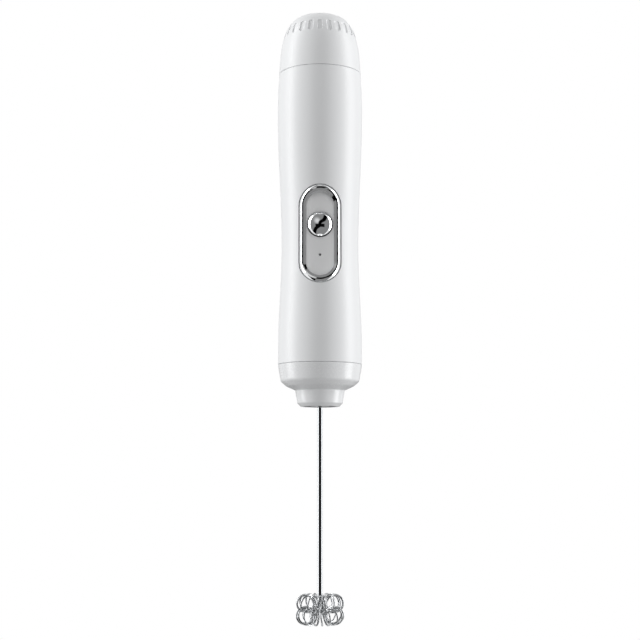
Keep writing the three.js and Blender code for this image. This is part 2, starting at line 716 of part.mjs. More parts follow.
// The cap: fluted dome outside, a bayonet bore and a shoulder for the gasket inside.
function topCap() {
  const outerLine = dome(capSeamRadius, CAP_HEIGHT, CAP_FULLNESS, CAP_DRAFT, 9);
  const bottom = SEAM_WIDTH / 2;
  const outline = outerLine.filter(([, z]) => z > bottom + SEAM_CHAMFER);
  const shell = revolve(
    [
      [0, bottom],
      [capSeamRadius - SEAM_CHAMFER, bottom],
      [capSeamRadius, bottom + SEAM_CHAMFER],
      ...outline,
    ],
    OUTER_FACETS,
  );
  const shoulder = gasketTop + FIT;
  const innerLine = dome(capSeamRadius - CAP_WALL, CAP_HEIGHT - CAP_WALL, CAP_FULLNESS, CAP_DRAFT, 6);
  const shoulderRadius = neckRadius - GASKET_WIDTH / 2;
  const hollow = revolve(
    [
      [0, bottom - PAST],
      [capBore, bottom - PAST],
      [capBore, shoulder],
      [shoulderRadius, shoulder],
      ...innerLine.filter(([r, z]) => z > shoulder + PAST && r < shoulderRadius),
    ],
    INNER_FACETS,
  );
  const flutes = [];
  for (let i = 0; i < FLUTE_COUNT; i += 1) {
    flutes.push(fluteCutter().rotateZ((FULL_TURN * i) / FLUTE_COUNT - QUARTER_TURN));
  }
  const halfAngle = LUG_WIDTH / 2 / neckRadius;
  const lugTip = neckRadius - LUG_REACH + FIT;
  const lugRoot = capBore + PAST;
  const lugs = [];
  for (let i = 0; i < LUG_COUNT; i += 1) {
    const lug = ringSector(lugTip, lugRoot, LUG_BASE, LUG_BASE + LUG_HEIGHT, -halfAngle, halfAngle);
    lugs.push(lug.rotateZ(lugAngle(i)));
  }
  return join(cut(shell, hollow, ...flutes), ...lugs);
}

// The L-shaped bayonet slots: a way in from the top of the neck and a run to the stop.
function bayonetSlots() {
  const halfAngle = (LUG_WIDTH / 2 + BAYONET_PLAY) / neckRadius;
  const inner = neckRadius - LUG_REACH;
  const bottom = LUG_BASE - FIT;
  const top = LUG_BASE + LUG_HEIGHT + BAYONET_PLAY;
  const slots = [];
  for (let i = 0; i < LUG_COUNT; i += 1) {
    const from = lugAngle(i) - halfAngle;
    const entry = lugAngle(i) + halfAngle;
    slots.push(ringSector(inner, neckRadius + PAST, bottom, NECK_HEIGHT + PAST, from, entry));
    slots.push(ringSector(inner, neckRadius + PAST, bottom, top, from, entry + twistAngle));
  }
  return slots;
}

// An upright pin at each of the charging board's screws.
function chargeBoardPins(radius, bottom, top) {
  const pin = disc(radius, bottom, top, PIN_FACETS);
  return sides.map((side) => pin.clone().translate(side * postSpread, 0, 0));
}

// The end frame: a flange that sits in the grip's rim, a skirt down inside the grip, a
// floor with the socket's window and two screw posts, and the bayonet neck.
function endFrame() {
  const flange = capSeamRadius - RIM_LEDGE_WIDTH - FIT;
  const flangeBottom = FIT - RIM_LEDGE_DEPTH;
  const sealGroove = neckRadius - NECK_SEAL_SECTION;
  const grooveHalf = NECK_SEAL_SECTION / 2 + SLIP / 2;
  const body = revolve(
    [
      [0, floorBottom],
      [skirtBore, floorBottom],
      [skirtBore, -FRAME_SKIRT_LENGTH],
      [skirtRadius, -FRAME_SKIRT_LENGTH],
      [skirtRadius, flangeBottom],
      [flange, flangeBottom],
      [flange, frameRim],
      [neckRadius, frameRim],
      [neckRadius, NECK_SEAL_Z - grooveHalf],
      [sealGroove, NECK_SEAL_Z - grooveHalf],
      [sealGroove, NECK_SEAL_Z + grooveHalf],
      [neckRadius, NECK_SEAL_Z + grooveHalf],
      [neckRadius, NECK_HEIGHT],
      [neckBore, NECK_HEIGHT],
      [neckBore, FRAME_FLOOR_TOP],
      [0, FRAME_FLOOR_TOP],
    ],
    INNER_FACETS,
  );
  const posts = chargeBoardPins(POST_RADIUS, chargeBoardTop + FIT, FRAME_FLOOR_TOP - FIT);
  const screwHoles = chargeBoardPins(SCREW_RADIUS + SLIP, chargeBoardTop, floorBottom - PAST);
  const windowShape = stadium(SOCKET_HEIGHT + 2 * FIT, SOCKET_WIDTH + 2 * FIT);
  const [windowFoot, windowTop] = [floorBottom - PAST, FRAME_FLOOR_TOP + PAST];
  const socketWindow = extrude(windowShape, windowFoot, windowTop, SMALL_ARC_STEPS);
  const cuts = [socketWindow.rotateZ(QUARTER_TURN), ...screwHoles, ...bayonetSlots()];
  return cut(join(body, ...posts), ...cuts);
}

// The charging socket: a stadium shell closed at its foot, and the tongue inside it.
function addSocket() {
  const bottom = chargeBoardTop + FIT;
  const shell = extrude(stadium(SOCKET_HEIGHT, SOCKET_WIDTH), bottom, FRAME_FLOOR_TOP, SMALL_ARC_STEPS);
  const mouthShape = stadium(SOCKET_HEIGHT - 2 * SOCKET_WALL, SOCKET_WIDTH - 2 * SOCKET_WALL);
  const mouth = extrude(mouthShape, bottom + SOCKET_WALL, FRAME_FLOOR_TOP + PAST, SMALL_ARC_STEPS);
  const halfWidth = TONGUE_WIDTH / 2;
  const halfThickness = TONGUE_THICKNESS / 2;
  const tongueBottom = bottom + SOCKET_WALL + SLIP;
  const tongue = block(
    [-halfWidth, -halfThickness, tongueBottom],
    [halfWidth, halfThickness, tongueBottom + TONGUE_LENGTH],
  );
  addPiece(end, "charge_socket_shell", cut(shell, mouth).rotateZ(QUARTER_TURN), STEEL);
  addPiece(end, "charge_socket_tongue", tongue, BLACK_PLASTIC);
}

// The round charging board and the two screws that hold it to the end frame's posts.
function addChargeBoard() {
  const board = disc(chargeBoardRadius, chargeBoardBottom, chargeBoardTop, INNER_FACETS);
  const holeRadius = SCREW_RADIUS + SLIP;
  const holes = chargeBoardPins(holeRadius, chargeBoardBottom - PAST, chargeBoardTop + PAST);
  addPiece(end, "charge_board", cut(board, ...holes), BOARD_GREEN);
  sides.forEach((side, i) => {
    const upright = screw(-chargeBoardTop - CHARGE_SCREW_GRIP, FIT - chargeBoardBottom).rotateX(Math.PI);
    addPiece(end, `charge_board_screw_${i + 1}`, upright.translate(side * postSpread, 0, 0), STEEL);
  });
}

function addCapEnd() {
  const sealRadius = neckRadius - NECK_SEAL_SECTION / 2 + SLIP;
  const seal = roundRing(sealRadius, NECK_SEAL_SECTION - SLIP, NECK_SEAL_Z, INNER_FACETS);
  const [gasketInner, gasketOuter] = [neckRadius - GASKET_WIDTH, neckRadius - SLIP];
  const gasket = tube(gasketInner, gasketOuter, gasketBottom, gasketTop, INNER_FACETS);
  addPiece(end, "end_frame", endFrame(), CHASSIS_PLASTIC);
  addPiece(end, "neck_seal", seal, SILICONE);
  addSocket();
  addChargeBoard();
  addPiece(end, "cap_gasket", gasket, SILICONE);
  addPiece(end, "top_cap", topCap(), WHITE_SATIN);
}

// ---------- Chassis, control board and battery ----------

const notchReach = boardFront + FIT;

// The motor cradle at the foot of the chassis: a skin, a fitted sleeve round the can, a web
// on each side between them and a floor with a hole for the can's boss. Its top is open.
function motorCradle() {
  const skin = tube(chassisRadius - CHASSIS_WALL, chassisRadius, chassisBottom, cradleTop, INNER_FACETS);
  const floor = disc(chassisRadius, chassisBottom, chassisBottom + CHASSIS_WALL, INNER_FACETS);
  const sleeveShape = flatSided(MOTOR_WIDTH, motorFlats, FIT + CHASSIS_WALL);
  const sleeve = extrude(sleeveShape, chassisBottom, cradleTop, SMALL_ARC_STEPS);
  const webHalf = RIB_THICKNESS / 2;
  const webReach = chassisRadius - CHASSIS_WALL / 2;
  const web = block([-webHalf, -webReach, chassisBottom], [webHalf, webReach, cradleTop]);
  const pocketShape = flatSided(MOTOR_WIDTH, motorFlats, FIT);
  const pocket = extrude(pocketShape, chassisBottom + CHASSIS_WALL, cradleTop + PAST, SMALL_ARC_STEPS);
  const bossHole = disc(CAN_BOSS_RADIUS + FIT, chassisBottom - PAST, canFront);
  const outline = disc(chassisRadius, chassisBottom, cradleTop, INNER_FACETS);
  return cut(common(join(skin, floor, sleeve, web), outline), pocket, bossHole);
}

// The open half pipe behind the control board, with the two rails the board rests on.
function boardCarrier() {
  const railInner = boardHalf - RAIL_WIDTH;
  const railOuter = chassisRadius - CHASSIS_WALL / 2;
  const [bottom, top] = [cradleTop - PAST, batteryRib + PAST];
  const pipe = tube(chassisRadius - CHASSIS_WALL, chassisRadius, bottom, top, INNER_FACETS);
  const openFront = block([-BEYOND, -BEYOND, -BEYOND], [BEYOND, -railFront, BEYOND]);
  const rails = sides.map((side) => {
    const ends = [side * railInner, side * railOuter];
    return block(
      [Math.min(...ends), -railFront, bottom],
      [Math.max(...ends), RAIL_DEPTH - railFront, top],
    );
  });
  const outline = disc(chassisRadius, bottom - PAST, top + PAST, INNER_FACETS);
  return common(join(cut(pipe, openFront), ...rails), outline);
}

// The battery sleeve: a tube set back from the axis, with fins out to the grip and flanges
// that tie the fins together.
function batterySleeve() {
  const half = RIB_THICKNESS / 2;
  const setback = BATTERY_SETBACK;
  const sleeve = disc(sleeveRadius, batteryRib, chassisTop, INNER_FACETS).translate(0, setback, 0);
  const crossFin = block([-BEYOND, setback - half, batteryRib], [BEYOND, setback + half, chassisTop]);
  const spineFin = block([-half, -BEYOND, batteryRib], [half, BEYOND, chassisTop]);
  const flanges = [];
  for (let i = 0; i < FLANGE_COUNT; i += 1) {
    const z = batteryRib + ((chassisTop - RIB_THICKNESS - batteryRib) * i) / (FLANGE_COUNT - 1);
    flanges.push(block([-BEYOND, -BEYOND, z], [BEYOND, BEYOND, z + RIB_THICKNESS]));
  }
  const outline = disc(chassisRadius, batteryRib, chassisTop, INNER_FACETS);
  const cellBore = disc(BATTERY_RADIUS + FIT, batteryRib + RIB_THICKNESS, chassisTop + PAST, INNER_FACETS);
  const body = common(join(sleeve, crossFin, spineFin, ...flanges), outline);
  return cut(body, cellBore.translate(0, setback, 0));
}

// One moulding from the motor's floor to the battery's mouth. Its front is cut flat to pass
// the panel boss, and notched on both sides for the leads.
function chassis() {
  const frontFlat = block([-BEYOND, -BEYOND, cradleTop], [BEYOND, -chassisFlat, BEYOND + chassisTop]);
  const leadNotches = sides.map((side) => {
    const ends = [side * (leadX - LEAD_RADIUS - FIT), side * (leadX + LEAD_RADIUS + FIT)];
    return block(
      [Math.min(...ends), -BEYOND, batteryRib - RIB_THICKNESS],
      [Math.max(...ends), -notchReach, chassisTop + PAST],
    );
  });
  const [holeFoot, holeTop] = [batteryRib - PAST, batteryRib + RIB_THICKNESS + PAST];
  const leadHole = disc(LEAD_RADIUS + FIT, holeFoot, holeTop, PIN_FACETS);
  const carrier = join(motorCradle(), boardCarrier(), batterySleeve());
  return cut(
    carrier,
    frontFlat,
    ...leadNotches,
    leadHole.translate(0, -boardLeadY, 0),
    ...boardScrewHoles(SCREW_RADIUS + SLIP, railFront - BOARD_SCREW_GRIP, railFront + PAST),
  );
}

// Round holes for the board's screws, between two distances in front of the axis.
function boardScrewHoles(radius, back, face) {
  const hole = disc(radius, back, face, PIN_FACETS).rotateX(QUARTER_TURN);
  return boardScrews.map(([x, z]) => hole.clone().translate(x, 0, z));
}

// The control board and its two screws.
function addControlBoard() {
  const board = block([-boardHalf, -boardFront, boardBottom], [boardHalf, -boardBack, boardTop]);
  const holes = boardScrewHoles(SCREW_RADIUS + SLIP, boardBack - PAST, boardFront + PAST);
  addPiece(grip, "control_board", cut(board, ...holes), BOARD_GREEN);
  boardScrews.forEach(([x, z], i) => {
    const shank = screw(railFront - BOARD_SCREW_GRIP + FIT, boardFront + FIT);
    addPiece(grip, `board_screw_${i + 1}`, shank.rotateX(QUARTER_TURN).translate(x, 0, z), STEEL);
  });
}

// The cell with its raised tip, the two contact tabs and the leads from them.
function addBattery() {
  const cell = revolve(
    [
      [0, batteryBottom],
      [BATTERY_RADIUS, batteryBottom],
      [BATTERY_RADIUS, batteryTop - BATTERY_TIP_HEIGHT],
      [BATTERY_TIP_RADIUS, batteryTop - BATTERY_TIP_HEIGHT],
      [BATTERY_TIP_RADIUS, batteryTop],
      [0, batteryTop],
    ],
    INNER_FACETS,
  );
  const tabHalf = TAB_WIDTH / 2;
  const tabReach = Math.sqrt(BATTERY_RADIUS ** 2 - tabHalf ** 2);
  const tab = (z) => block([-tabHalf, -tabReach, z], [tabHalf, tabReach / 2, z + TAB_THICKNESS]);
  addPiece(grip, "battery_cell", cell.translate(0, BATTERY_SETBACK, 0), CELL_WRAP);
  addPiece(grip, "battery_tab_lower", tab(lowerTab).translate(0, BATTERY_SETBACK, 0), NICKEL);
  addPiece(grip, "battery_tab_upper", tab(upperTab).translate(0, BATTERY_SETBACK, 0), NICKEL);
}

// The insulated leads: two from the cell, two down from the charging board in the chassis
// notches, and two up from the motor's terminals, all to the face of the control board.
function addLeads() {
  const padY = -boardLeadY;
  const tabLead = upperTab + TAB_THICKNESS + FIT / 2 + LEAD_RADIUS;
  const chargeEnd = capSeamZ + chargeBoardBottom - FIT;
  const cellRed = through(
    [-TAB_WIDTH / 3, padY, tabLead],
    [-leadX + 2 * LEAD_RADIUS, padY - 2 * LEAD_RADIUS, tabLead],
    [-leadX, -leadY, chassisTop],
    [-leadX, -leadY, (chassisTop + batteryRib) / 2],
    [-leadX, -leadY, batteryRib],
    [-leadX, padY, boardTop - PAD_INSET],
    [-leadX, padY, boardTop - PAD_INSET - PAD_RUN],
  );
  addPiece(grip, "battery_lead_red", wire(cellRed, LEAD_RADIUS, 12), RED_WIRE);
  const cellBlack = disc(LEAD_RADIUS, boardTop - 2 * LEAD_RADIUS, lowerTab - FIT / 2, WIRE_FACETS);
  addPiece(grip, "battery_lead_black", cellBlack.translate(0, padY, 0), BLACK_WIRE);
  const chargeFinishes = { red: RED_WIRE, black: BLACK_WIRE };
  Object.entries(chargeFinishes).forEach(([colour, finish], i) => {
    const y = -leadY - i * 2 * (LEAD_RADIUS + FIT / 3);
    const foot = boardTop - PAD_INSET - PAD_PITCH * i;
    const route = through(
      [leadX, y, chargeEnd],
      [leadX, y, (chargeEnd + batteryRib) / 2],
      [leadX, y, foot + PAD_RUN],
      [leadX, padY, foot],
      [leadX, padY, foot - PAD_RUN / 2],
    );
    addPiece(grip, `charge_lead_${colour}`, wire(route, LEAD_RADIUS, 10), finish);
  });
  sides.forEach((side, i) => {
    const x = side * terminalX;
    const start = -TERMINAL_WIDTH / 2 - FIT / 2 - LEAD_RADIUS;
    const route = through(
      [x, start, bellBack + FIT],
      [x, padY, boardBottom - 2 * FIT],
      [x, padY, boardBottom + PAD_INSET],
    );
    const colour = ["black", "red"][i];
    addPiece(grip, `motor_lead_${colour}`, wire(route, LEAD_RADIUS, 6), [BLACK_WIRE, RED_WIRE][i]);
  });
}

// ---------- Motor ----------

const canBore = MOTOR_WIDTH / 2 - CAN_WALL;
const magnetThickness = MAGNET_SHARE * MOTOR_WIDTH;
const rotorRadius = canBore - magnetThickness - AIR_GAP;
const rotorHub = ROTOR_HUB_SHARE * rotorRadius;
const poleShoe = POLE_SHOE_SHARE * MOTOR_WIDTH;
const poleArmHalf = (POLE_ARM_SHARE * MOTOR_WIDTH) / 2;
const windingThickness = WINDING_SHARE * MOTOR_WIDTH;
const rotorMiddle = canFront + CAN_WALL + FIT + MAGNET_LENGTH / 2;
const brushFoot = canBack - BRUSH_INSET;
const bushRadius = shaftBore + BUSH_WALL - FIT / 2;

// The drawn steel can: flat sides, a closed front with a boss for its bush.
function motorCan() {
  const body = extrude(flatSided(MOTOR_WIDTH, motorFlats), canFront, canBack, SMALL_ARC_STEPS);
  const boss = disc(CAN_BOSS_RADIUS, canFront - MOTOR_BOSS_LENGTH, canFront + PAST);
  const hollow = flatSided(MOTOR_WIDTH, motorFlats, -CAN_WALL);
  const bushHole = disc(bushRadius + SLIP, canFront - MOTOR_BOSS_LENGTH - PAST, canFront + CAN_WALL + PAST);
  const inside = extrude(hollow, canFront + CAN_WALL, canBack + PAST, SMALL_ARC_STEPS);
  return cut(join(body, boss), inside, bushHole);
}

// The plastic end bell that closes the can, with slots for the terminals.
function endBell() {
  const plate = extrude(flatSided(MOTOR_WIDTH, motorFlats), canBack + FIT, bellBack, SMALL_ARC_STEPS);
  const hole = disc(bushRadius + SLIP, canBack - PAST, bellBack + PAST);
  const half = TERMINAL_WIDTH / 2 + SLIP;
  const slots = sides.map((side) =>
    block([side * terminalX - FIT, -half, canBack - PAST], [side * terminalX + FIT, half, bellBack + PAST]),
  );
  return cut(plate, hole, ...slots);
}

// The three-pole stack: a hub, an arm for each pole and a shoe on each arm.
function rotorStack() {
  const bottom = rotorMiddle - ROTOR_LENGTH / 2;
  const top = rotorMiddle + ROTOR_LENGTH / 2;
  const shoeHalf = (POLE_SPREAD * FULL_TURN) / POLE_COUNT;
  const shoeInner = rotorRadius - poleShoe;
  const armEnd = rotorRadius - poleShoe / 2;
  const parts = [disc(rotorHub, bottom, top)];
  for (let i = 0; i < POLE_COUNT; i += 1) {
    const angle = (FULL_TURN * i) / POLE_COUNT;
    const arm = block([0, -poleArmHalf, bottom], [armEnd, poleArmHalf, top]);
    const shoe = ringSector(shoeInner, rotorRadius, bottom, top, -shoeHalf, shoeHalf);
    parts.push(arm.rotateZ(angle), shoe.rotateZ(angle));
  }
  return cut(join(...parts), disc(shaftBore, bottom - PAST, top + PAST));
}

// One pole's winding: a block round its arm, between hub and shoe.
function winding(pole) {
  const inner = rotorHub + FIT;
  const slim = poleArmHalf + SLIP;
  const wide = slim + windingThickness;
  const outer = Math.sqrt((rotorRadius - poleShoe - SLIP) ** 2 - wide ** 2);
  const half = ROTOR_LENGTH / 2 + SLIP;
  const tall = half + windingThickness;
  const coil = block([inner, -wide, -tall], [outer, wide, tall]);
  const core = block([0, -slim, -half], [rotorRadius, slim, half]);
  const turn = (FULL_TURN * pole) / POLE_COUNT;
  return cut(coil, core).translate(0, 0, rotorMiddle).rotateZ(turn);
}

function addMotor() {
  const magnetTurn = Math.asin((motorFlats / 2 - CAN_WALL) / canBore) - SLIP;
  const magnetBottom = canFront + CAN_WALL + FIT;
  const shaftTop = bellBack - FIT;
  addPiece(grip, "motor_can", motorCan(), STEEL);
  addPiece(grip, "motor_end_bell", endBell(), BLACK_PLASTIC);
  sides.forEach((side, i) => {
    const turn = side > 0 ? 0 : Math.PI;
    const magnet = ringSector(
      canBore - SLIP - magnetThickness,
      canBore - SLIP,
      magnetBottom,
      magnetBottom + MAGNET_LENGTH,
      turn - magnetTurn,
      turn + magnetTurn,
    );
    const half = TERMINAL_WIDTH / 2;
    const x = side * terminalX;
    const slim = TAB_THICKNESS / 2;
    const brushTip = side * (COMMUTATOR_RADIUS + FIT);
    const terminal = block([x - slim, -half, brushFoot], [x + slim, half, bellBack + TERMINAL_REACH]);
    const spring = block(
      [Math.min(brushTip, x), -half / 2, brushFoot],
      [Math.max(brushTip, x), half / 2, brushFoot + TAB_THICKNESS],
    );
    addPiece(grip, `motor_magnet_${i + 1}`, magnet, MAGNET);
    addPiece(grip, `motor_terminal_${i + 1}`, join(terminal, spring), NICKEL);
  });
  const frontBush = tube(shaftBore, bushRadius, canFront - MOTOR_BOSS_LENGTH, canFront + CAN_WALL);
  const rearBush = tube(shaftBore, bushRadius, canBack + FIT, bellBack - SLIP);
  addPiece(grip, "motor_bush_front", frontBush, BRASS);
  addPiece(grip, "motor_bush_rear", rearBush, BRASS);
  addPiece(grip, "motor_shaft", disc(SHAFT_RADIUS, shaftEnd, shaftTop), STEEL);
  addPiece(grip, "motor_rotor", rotorStack(), IRON);
  for (let i = 0; i < POLE_COUNT; i += 1) {
    addPiece(grip, `motor_winding_${i + 1}`, winding(i), COPPER);
  }
  const commutatorTop = brushFoot + (COMMUTATOR_LENGTH + TAB_THICKNESS) / 2;
  addPiece(
    grip,
    "motor_commutator",
    tube(shaftBore, COMMUTATOR_RADIUS, commutatorTop - COMMUTATOR_LENGTH, commutatorTop),
    COPPER,
  );
}

// ---------- Nose ----------

// The nose cone: a bowl that turns in to a slightly tapered collar, hollow above, with a
// spigot up into the grip, a bore for the coupling and a recess for the shaft seal.
function noseCone() {
  const bowl = dome(noseSeamRadius, NOSE_DEPTH, NOSE_FULLNESS, NOSE_DRAFT, 8)
    .map(([r, depth]) => [r, -depth])
    .filter(([r, z]) => r > COLLAR_TOP_RADIUS + FIT && z < -SEAM_WIDTH / 2 - SEAM_CHAMFER);
  const shoulder = -SEAM_WIDTH / 2;
  const chamferTop = collarBottom + COLLAR_CHAMFER;
  const cavity = dome(noseSeamRadius - WALL, NOSE_DEPTH - WALL, NOSE_FULLNESS, NOSE_DRAFT, 5)
    .map(([r, depth]) => [r, -depth])
    .filter(([r, z]) => r > couplingBore && z < -SEAM_WIDTH);
  const cavityFloor = WALL - NOSE_DEPTH;
  const spigotBore = chassisRadius + SLIP;
  const grooveHalf = NOSE_SEAL_SECTION / 2 + SLIP / 2;
  const groove = noseSpigotRadius - NOSE_SEAL_SECTION + SLIP;
  const outside = [
    [0, collarBottom],
    [COLLAR_BOTTOM_RADIUS - COLLAR_CHAMFER, collarBottom],
    [COLLAR_BOTTOM_RADIUS, chamferTop],
    [COLLAR_TOP_RADIUS, -NOSE_DEPTH],
    ...bowl.reverse(),
    [noseSeamRadius, shoulder - SEAM_CHAMFER],
    [noseSeamRadius - SEAM_CHAMFER, shoulder],
    [0, shoulder],
  ];
  const spigot = [
    [0, shoulder - PAST],
    [noseSpigotRadius, shoulder - PAST],
    [noseSpigotRadius, noseSealZ - grooveHalf],
    [groove, noseSealZ - grooveHalf],
    [groove, noseSealZ + grooveHalf],
    [noseSpigotRadius, noseSealZ + grooveHalf],
    [noseSpigotRadius, SPIGOT_LENGTH],
    [0, SPIGOT_LENGTH],
  ];
  const seatBore = chassisRadius - CHASSIS_WALL;
  const inside = [
    [0, SPIGOT_LENGTH + PAST],
    [spigotBore, SPIGOT_LENGTH + PAST],
    [spigotBore, 0],
    [seatBore, 0],
    ...cavity.filter(([r]) => r < seatBore),
    [couplingBore, cavityFloor],
    [couplingBore, bushTop + SLIP],
    [0, bushTop + SLIP],
  ];
  const bushBore = disc(NOSE_BUSH_RADIUS + SLIP, collarBottom - PAST, 0);
  const recess = disc(SHAFT_SEAL_RADIUS + SLIP, collarBottom - PAST, bushSeat, INNER_FACETS);
  const core = tube(coreInner, coreInner + COLLAR_CORE_WIDTH, bushSeat + WALL, 0, INNER_FACETS);
  const body = join(revolve(outside, OUTER_FACETS), revolve(spigot, INNER_FACETS));
  return cut(body, revolve(inside, INNER_FACETS), bushBore, recess, core);
}

function noseBush() {
  const flangeFace = collarBottom + SLIP;
  return revolve(
    [
      [SHAFT_RADIUS + FIT / 2, flangeFace],
      [NOSE_BUSH_FLANGE, flangeFace],
      [NOSE_BUSH_FLANGE, bushSeat - SLIP],
      [NOSE_BUSH_RADIUS, bushSeat - SLIP],
      [NOSE_BUSH_RADIUS, bushTop],
      [SHAFT_RADIUS + FIT / 2, bushTop],
    ],
  );
}

function addNose() {
  const sealRadius = noseSpigotRadius - NOSE_SEAL_SECTION / 2 + SLIP;
  const rimSeal = roundRing(sealRadius, NOSE_SEAL_SECTION - SLIP, noseSealZ, INNER_FACETS);
  const sealTop = bushSeat - SLIP;
  const sealFoot = sealTop - SHAFT_SEAL_THICKNESS;
  const shaftSeal = tube(NOSE_BUSH_FLANGE + SLIP, SHAFT_SEAL_RADIUS, sealFoot, sealTop, INNER_FACETS);
  addPiece(nose, "nose_cone", noseCone(), WHITE_GLOSS);
  addPiece(nose, "nose_seal", rimSeal, SILICONE);
  addPiece(nose, "nose_bush", noseBush(), SILICONE);
  addPiece(nose, "shaft_seal", shaftSeal, DARK_RUBBER);
}

// ---------- Whisk ----------

// A toroidal coil about Z, at equal steps of its own turns. It starts and ends beside the
// ring wire and leaves one turn out where the ring's arm passes.
class CoilCurve extends THREE.Curve {
  constructor(side) {
    super();
    this.side = side;
    this.turns = coilTurns - 1;
    const crossing = Math.PI - Math.asin(-coilOffset / coilRadius);
    const crossingShare = (crossing + QUARTER_TURN) / FULL_TURN;
    const gapMiddle = QUARTER_TURN + (side * coilPitch) / 4;
    this.start = gapMiddle + coilPitch * (1 - crossingShare);
  }

  getUtoTmapping(u) {
    return u;
  }

  getPoint(t, target = new THREE.Vector3()) {
    const turn = this.turns * t;
    const phase = FULL_TURN * turn - QUARTER_TURN;
    const azimuth = this.start + coilPitch * turn;
    const reach = ringRadius + coilRadius * Math.cos(phase);
    const height = this.side * (coilOffset + coilRadius * Math.sin(phase));
    return target.set(reach * Math.cos(azimuth), reach * Math.sin(azimuth), height);
  }
}

// The ring wire that both coils hang on, with its arm in to the rod.
function ringWire() {
  const ring = roundRing(ringRadius, RING_WIRE, 0, INNER_FACETS);
  const arm = disc(RING_WIRE / 2, ROD_RADIUS + SLIP, ringRadius, WIRE_FACETS);
  return join(ring, arm.rotateX(-QUARTER_TURN));
}

// The coupling sleeve: a blind bore for the motor shaft above and for the rod below.
function coupling() {
  const bore = ROD_RADIUS + FIT / 2;
  const shaftSocket = disc(bore, shaftEnd - FIT, couplingTop + NOSE_SEAM_Z + PAST);
  const rodSocket = disc(bore, couplingBottom + NOSE_SEAM_Z - PAST, rodTop + FIT);
  const body = disc(COUPLING_RADIUS, couplingBottom + NOSE_SEAM_Z, couplingTop + NOSE_SEAM_Z);
  return cut(body, shaftSocket, rodSocket);
}

function addWhisk() {
  const rodBottom = WHISK_CENTRE_Z - RING_WIRE;
  const rod = revolve(
    [
      [0, rodBottom],
      [ROD_RADIUS / 2, rodBottom],
      [ROD_RADIUS, rodBottom + ROD_RADIUS / 2],
      [ROD_RADIUS, rodTop - ROD_RADIUS / 2],
      [ROD_RADIUS / 2, rodTop],
      [0, rodTop],
    ],
  );
  const steps = COIL_STEPS_PER_TURN * (coilTurns - 1);
  addPiece(grip, "shaft_coupling", coupling(), BRASS);
  addPiece(grip, "whisk_rod", rod, CHROME);
  addPiece(whiskHead, "whisk_ring_wire", ringWire(), CHROME);
  addPiece(whiskHead, "whisk_coil_upper", wire(new CoilCurve(1), COIL_WIRE / 2, steps), CHROME);
  addPiece(whiskHead, "whisk_coil_lower", wire(new CoilCurve(-1), COIL_WIRE / 2, steps), CHROME);
}

addPiece(grip, "handle_shell", handleShell(), WHITE_SATIN);
addFront();
addCapEnd();
addPiece(grip, "chassis", chassis(), CHASSIS_PLASTIC);
addControlBoard();
addBattery();
addLeads();
addMotor();
addNose();
addWhisk();

export default group;
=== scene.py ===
"""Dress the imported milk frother: fine surfaces over its visible parts and a finish on every part.

Lengths in the shape functions are millimetres; meshes are written in metres. The axis is Z
with the cap up, and the button faces -Y. A level on the front is a distance in front of the
axis, so a point at x, z and that level lies at (x, -level, z).
"""

import json
import math

import bmesh
import bpy
import numpy as np
from bpy.props import FloatProperty, FloatVectorProperty, IntProperty, PointerProperty
from bpy.types import Operator, Panel, PropertyGroup
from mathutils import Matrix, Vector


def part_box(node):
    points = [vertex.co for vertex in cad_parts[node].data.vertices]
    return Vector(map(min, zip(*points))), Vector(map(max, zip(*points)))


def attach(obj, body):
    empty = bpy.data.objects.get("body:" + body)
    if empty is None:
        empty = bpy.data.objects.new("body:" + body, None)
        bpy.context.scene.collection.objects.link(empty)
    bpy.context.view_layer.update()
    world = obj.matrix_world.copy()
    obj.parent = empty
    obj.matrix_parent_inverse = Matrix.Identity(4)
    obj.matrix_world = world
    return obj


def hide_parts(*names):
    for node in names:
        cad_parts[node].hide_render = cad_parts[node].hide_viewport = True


bl_info = {
    "name": "Milk frother",
    "version": (1, 0, 0),
    "blender": (4, 5, 0),
    "location": "View3D > Sidebar > Frother",
    "description": "Builds the visible surfaces and finishes of a hand-held milk frother",
    "category": "Object",
}

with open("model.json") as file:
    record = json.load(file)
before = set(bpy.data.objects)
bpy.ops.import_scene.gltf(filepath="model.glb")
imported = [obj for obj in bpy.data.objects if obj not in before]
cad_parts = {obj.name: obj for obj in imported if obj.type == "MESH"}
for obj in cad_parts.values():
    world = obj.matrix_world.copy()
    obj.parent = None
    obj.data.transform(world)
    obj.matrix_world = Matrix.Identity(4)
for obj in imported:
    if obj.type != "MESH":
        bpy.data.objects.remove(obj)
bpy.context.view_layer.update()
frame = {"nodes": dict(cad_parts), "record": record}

MM = 0.001
TURN = 2 * math.pi

# Clearances in millimetres. The solids leave SEAM between two outer shells, and the visible
# shells close it to FINE_SEAM, with an edge of SEAM_ROUND.
SEAM = 0.35
FINE_SEAM = 0.12
SEAM_ROUND = 0.14
FIT = 0.3
SLIP = 0.15
WELD = 2e-4


def node_box(name):
    """A node's lowest and highest corners in millimetres."""
    low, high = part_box(name)
    return [c / MM for c in low], [c / MM for c in high]


def middle(name, axis):
    """The middle of a node's box along an axis, in millimetres."""
    low, high = node_box(name)
    return (low[axis] + high[axis]) / 2


def metres(node, corner, axis):
    """One coordinate of a node's box, for a property's default."""
    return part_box(node)[corner][axis]


# ---------- Sizes and colours in the sidebar ----------


def length(name, description, default):
    return FloatProperty(
        name=name, description=description, default=default, unit="LENGTH", precision=5
    )


def bearing(name, description, default):
    return FloatProperty(name=name, description=description, default=default, subtype="ANGLE")


def brightness(name, description, default):
    return FloatProperty(name=name, description=description, default=default, min=0)


def colour(name, description, default):
    return FloatVectorProperty(
        name=name, description=description, default=default, subtype="COLOR", min=0, max=1, size=3
    )


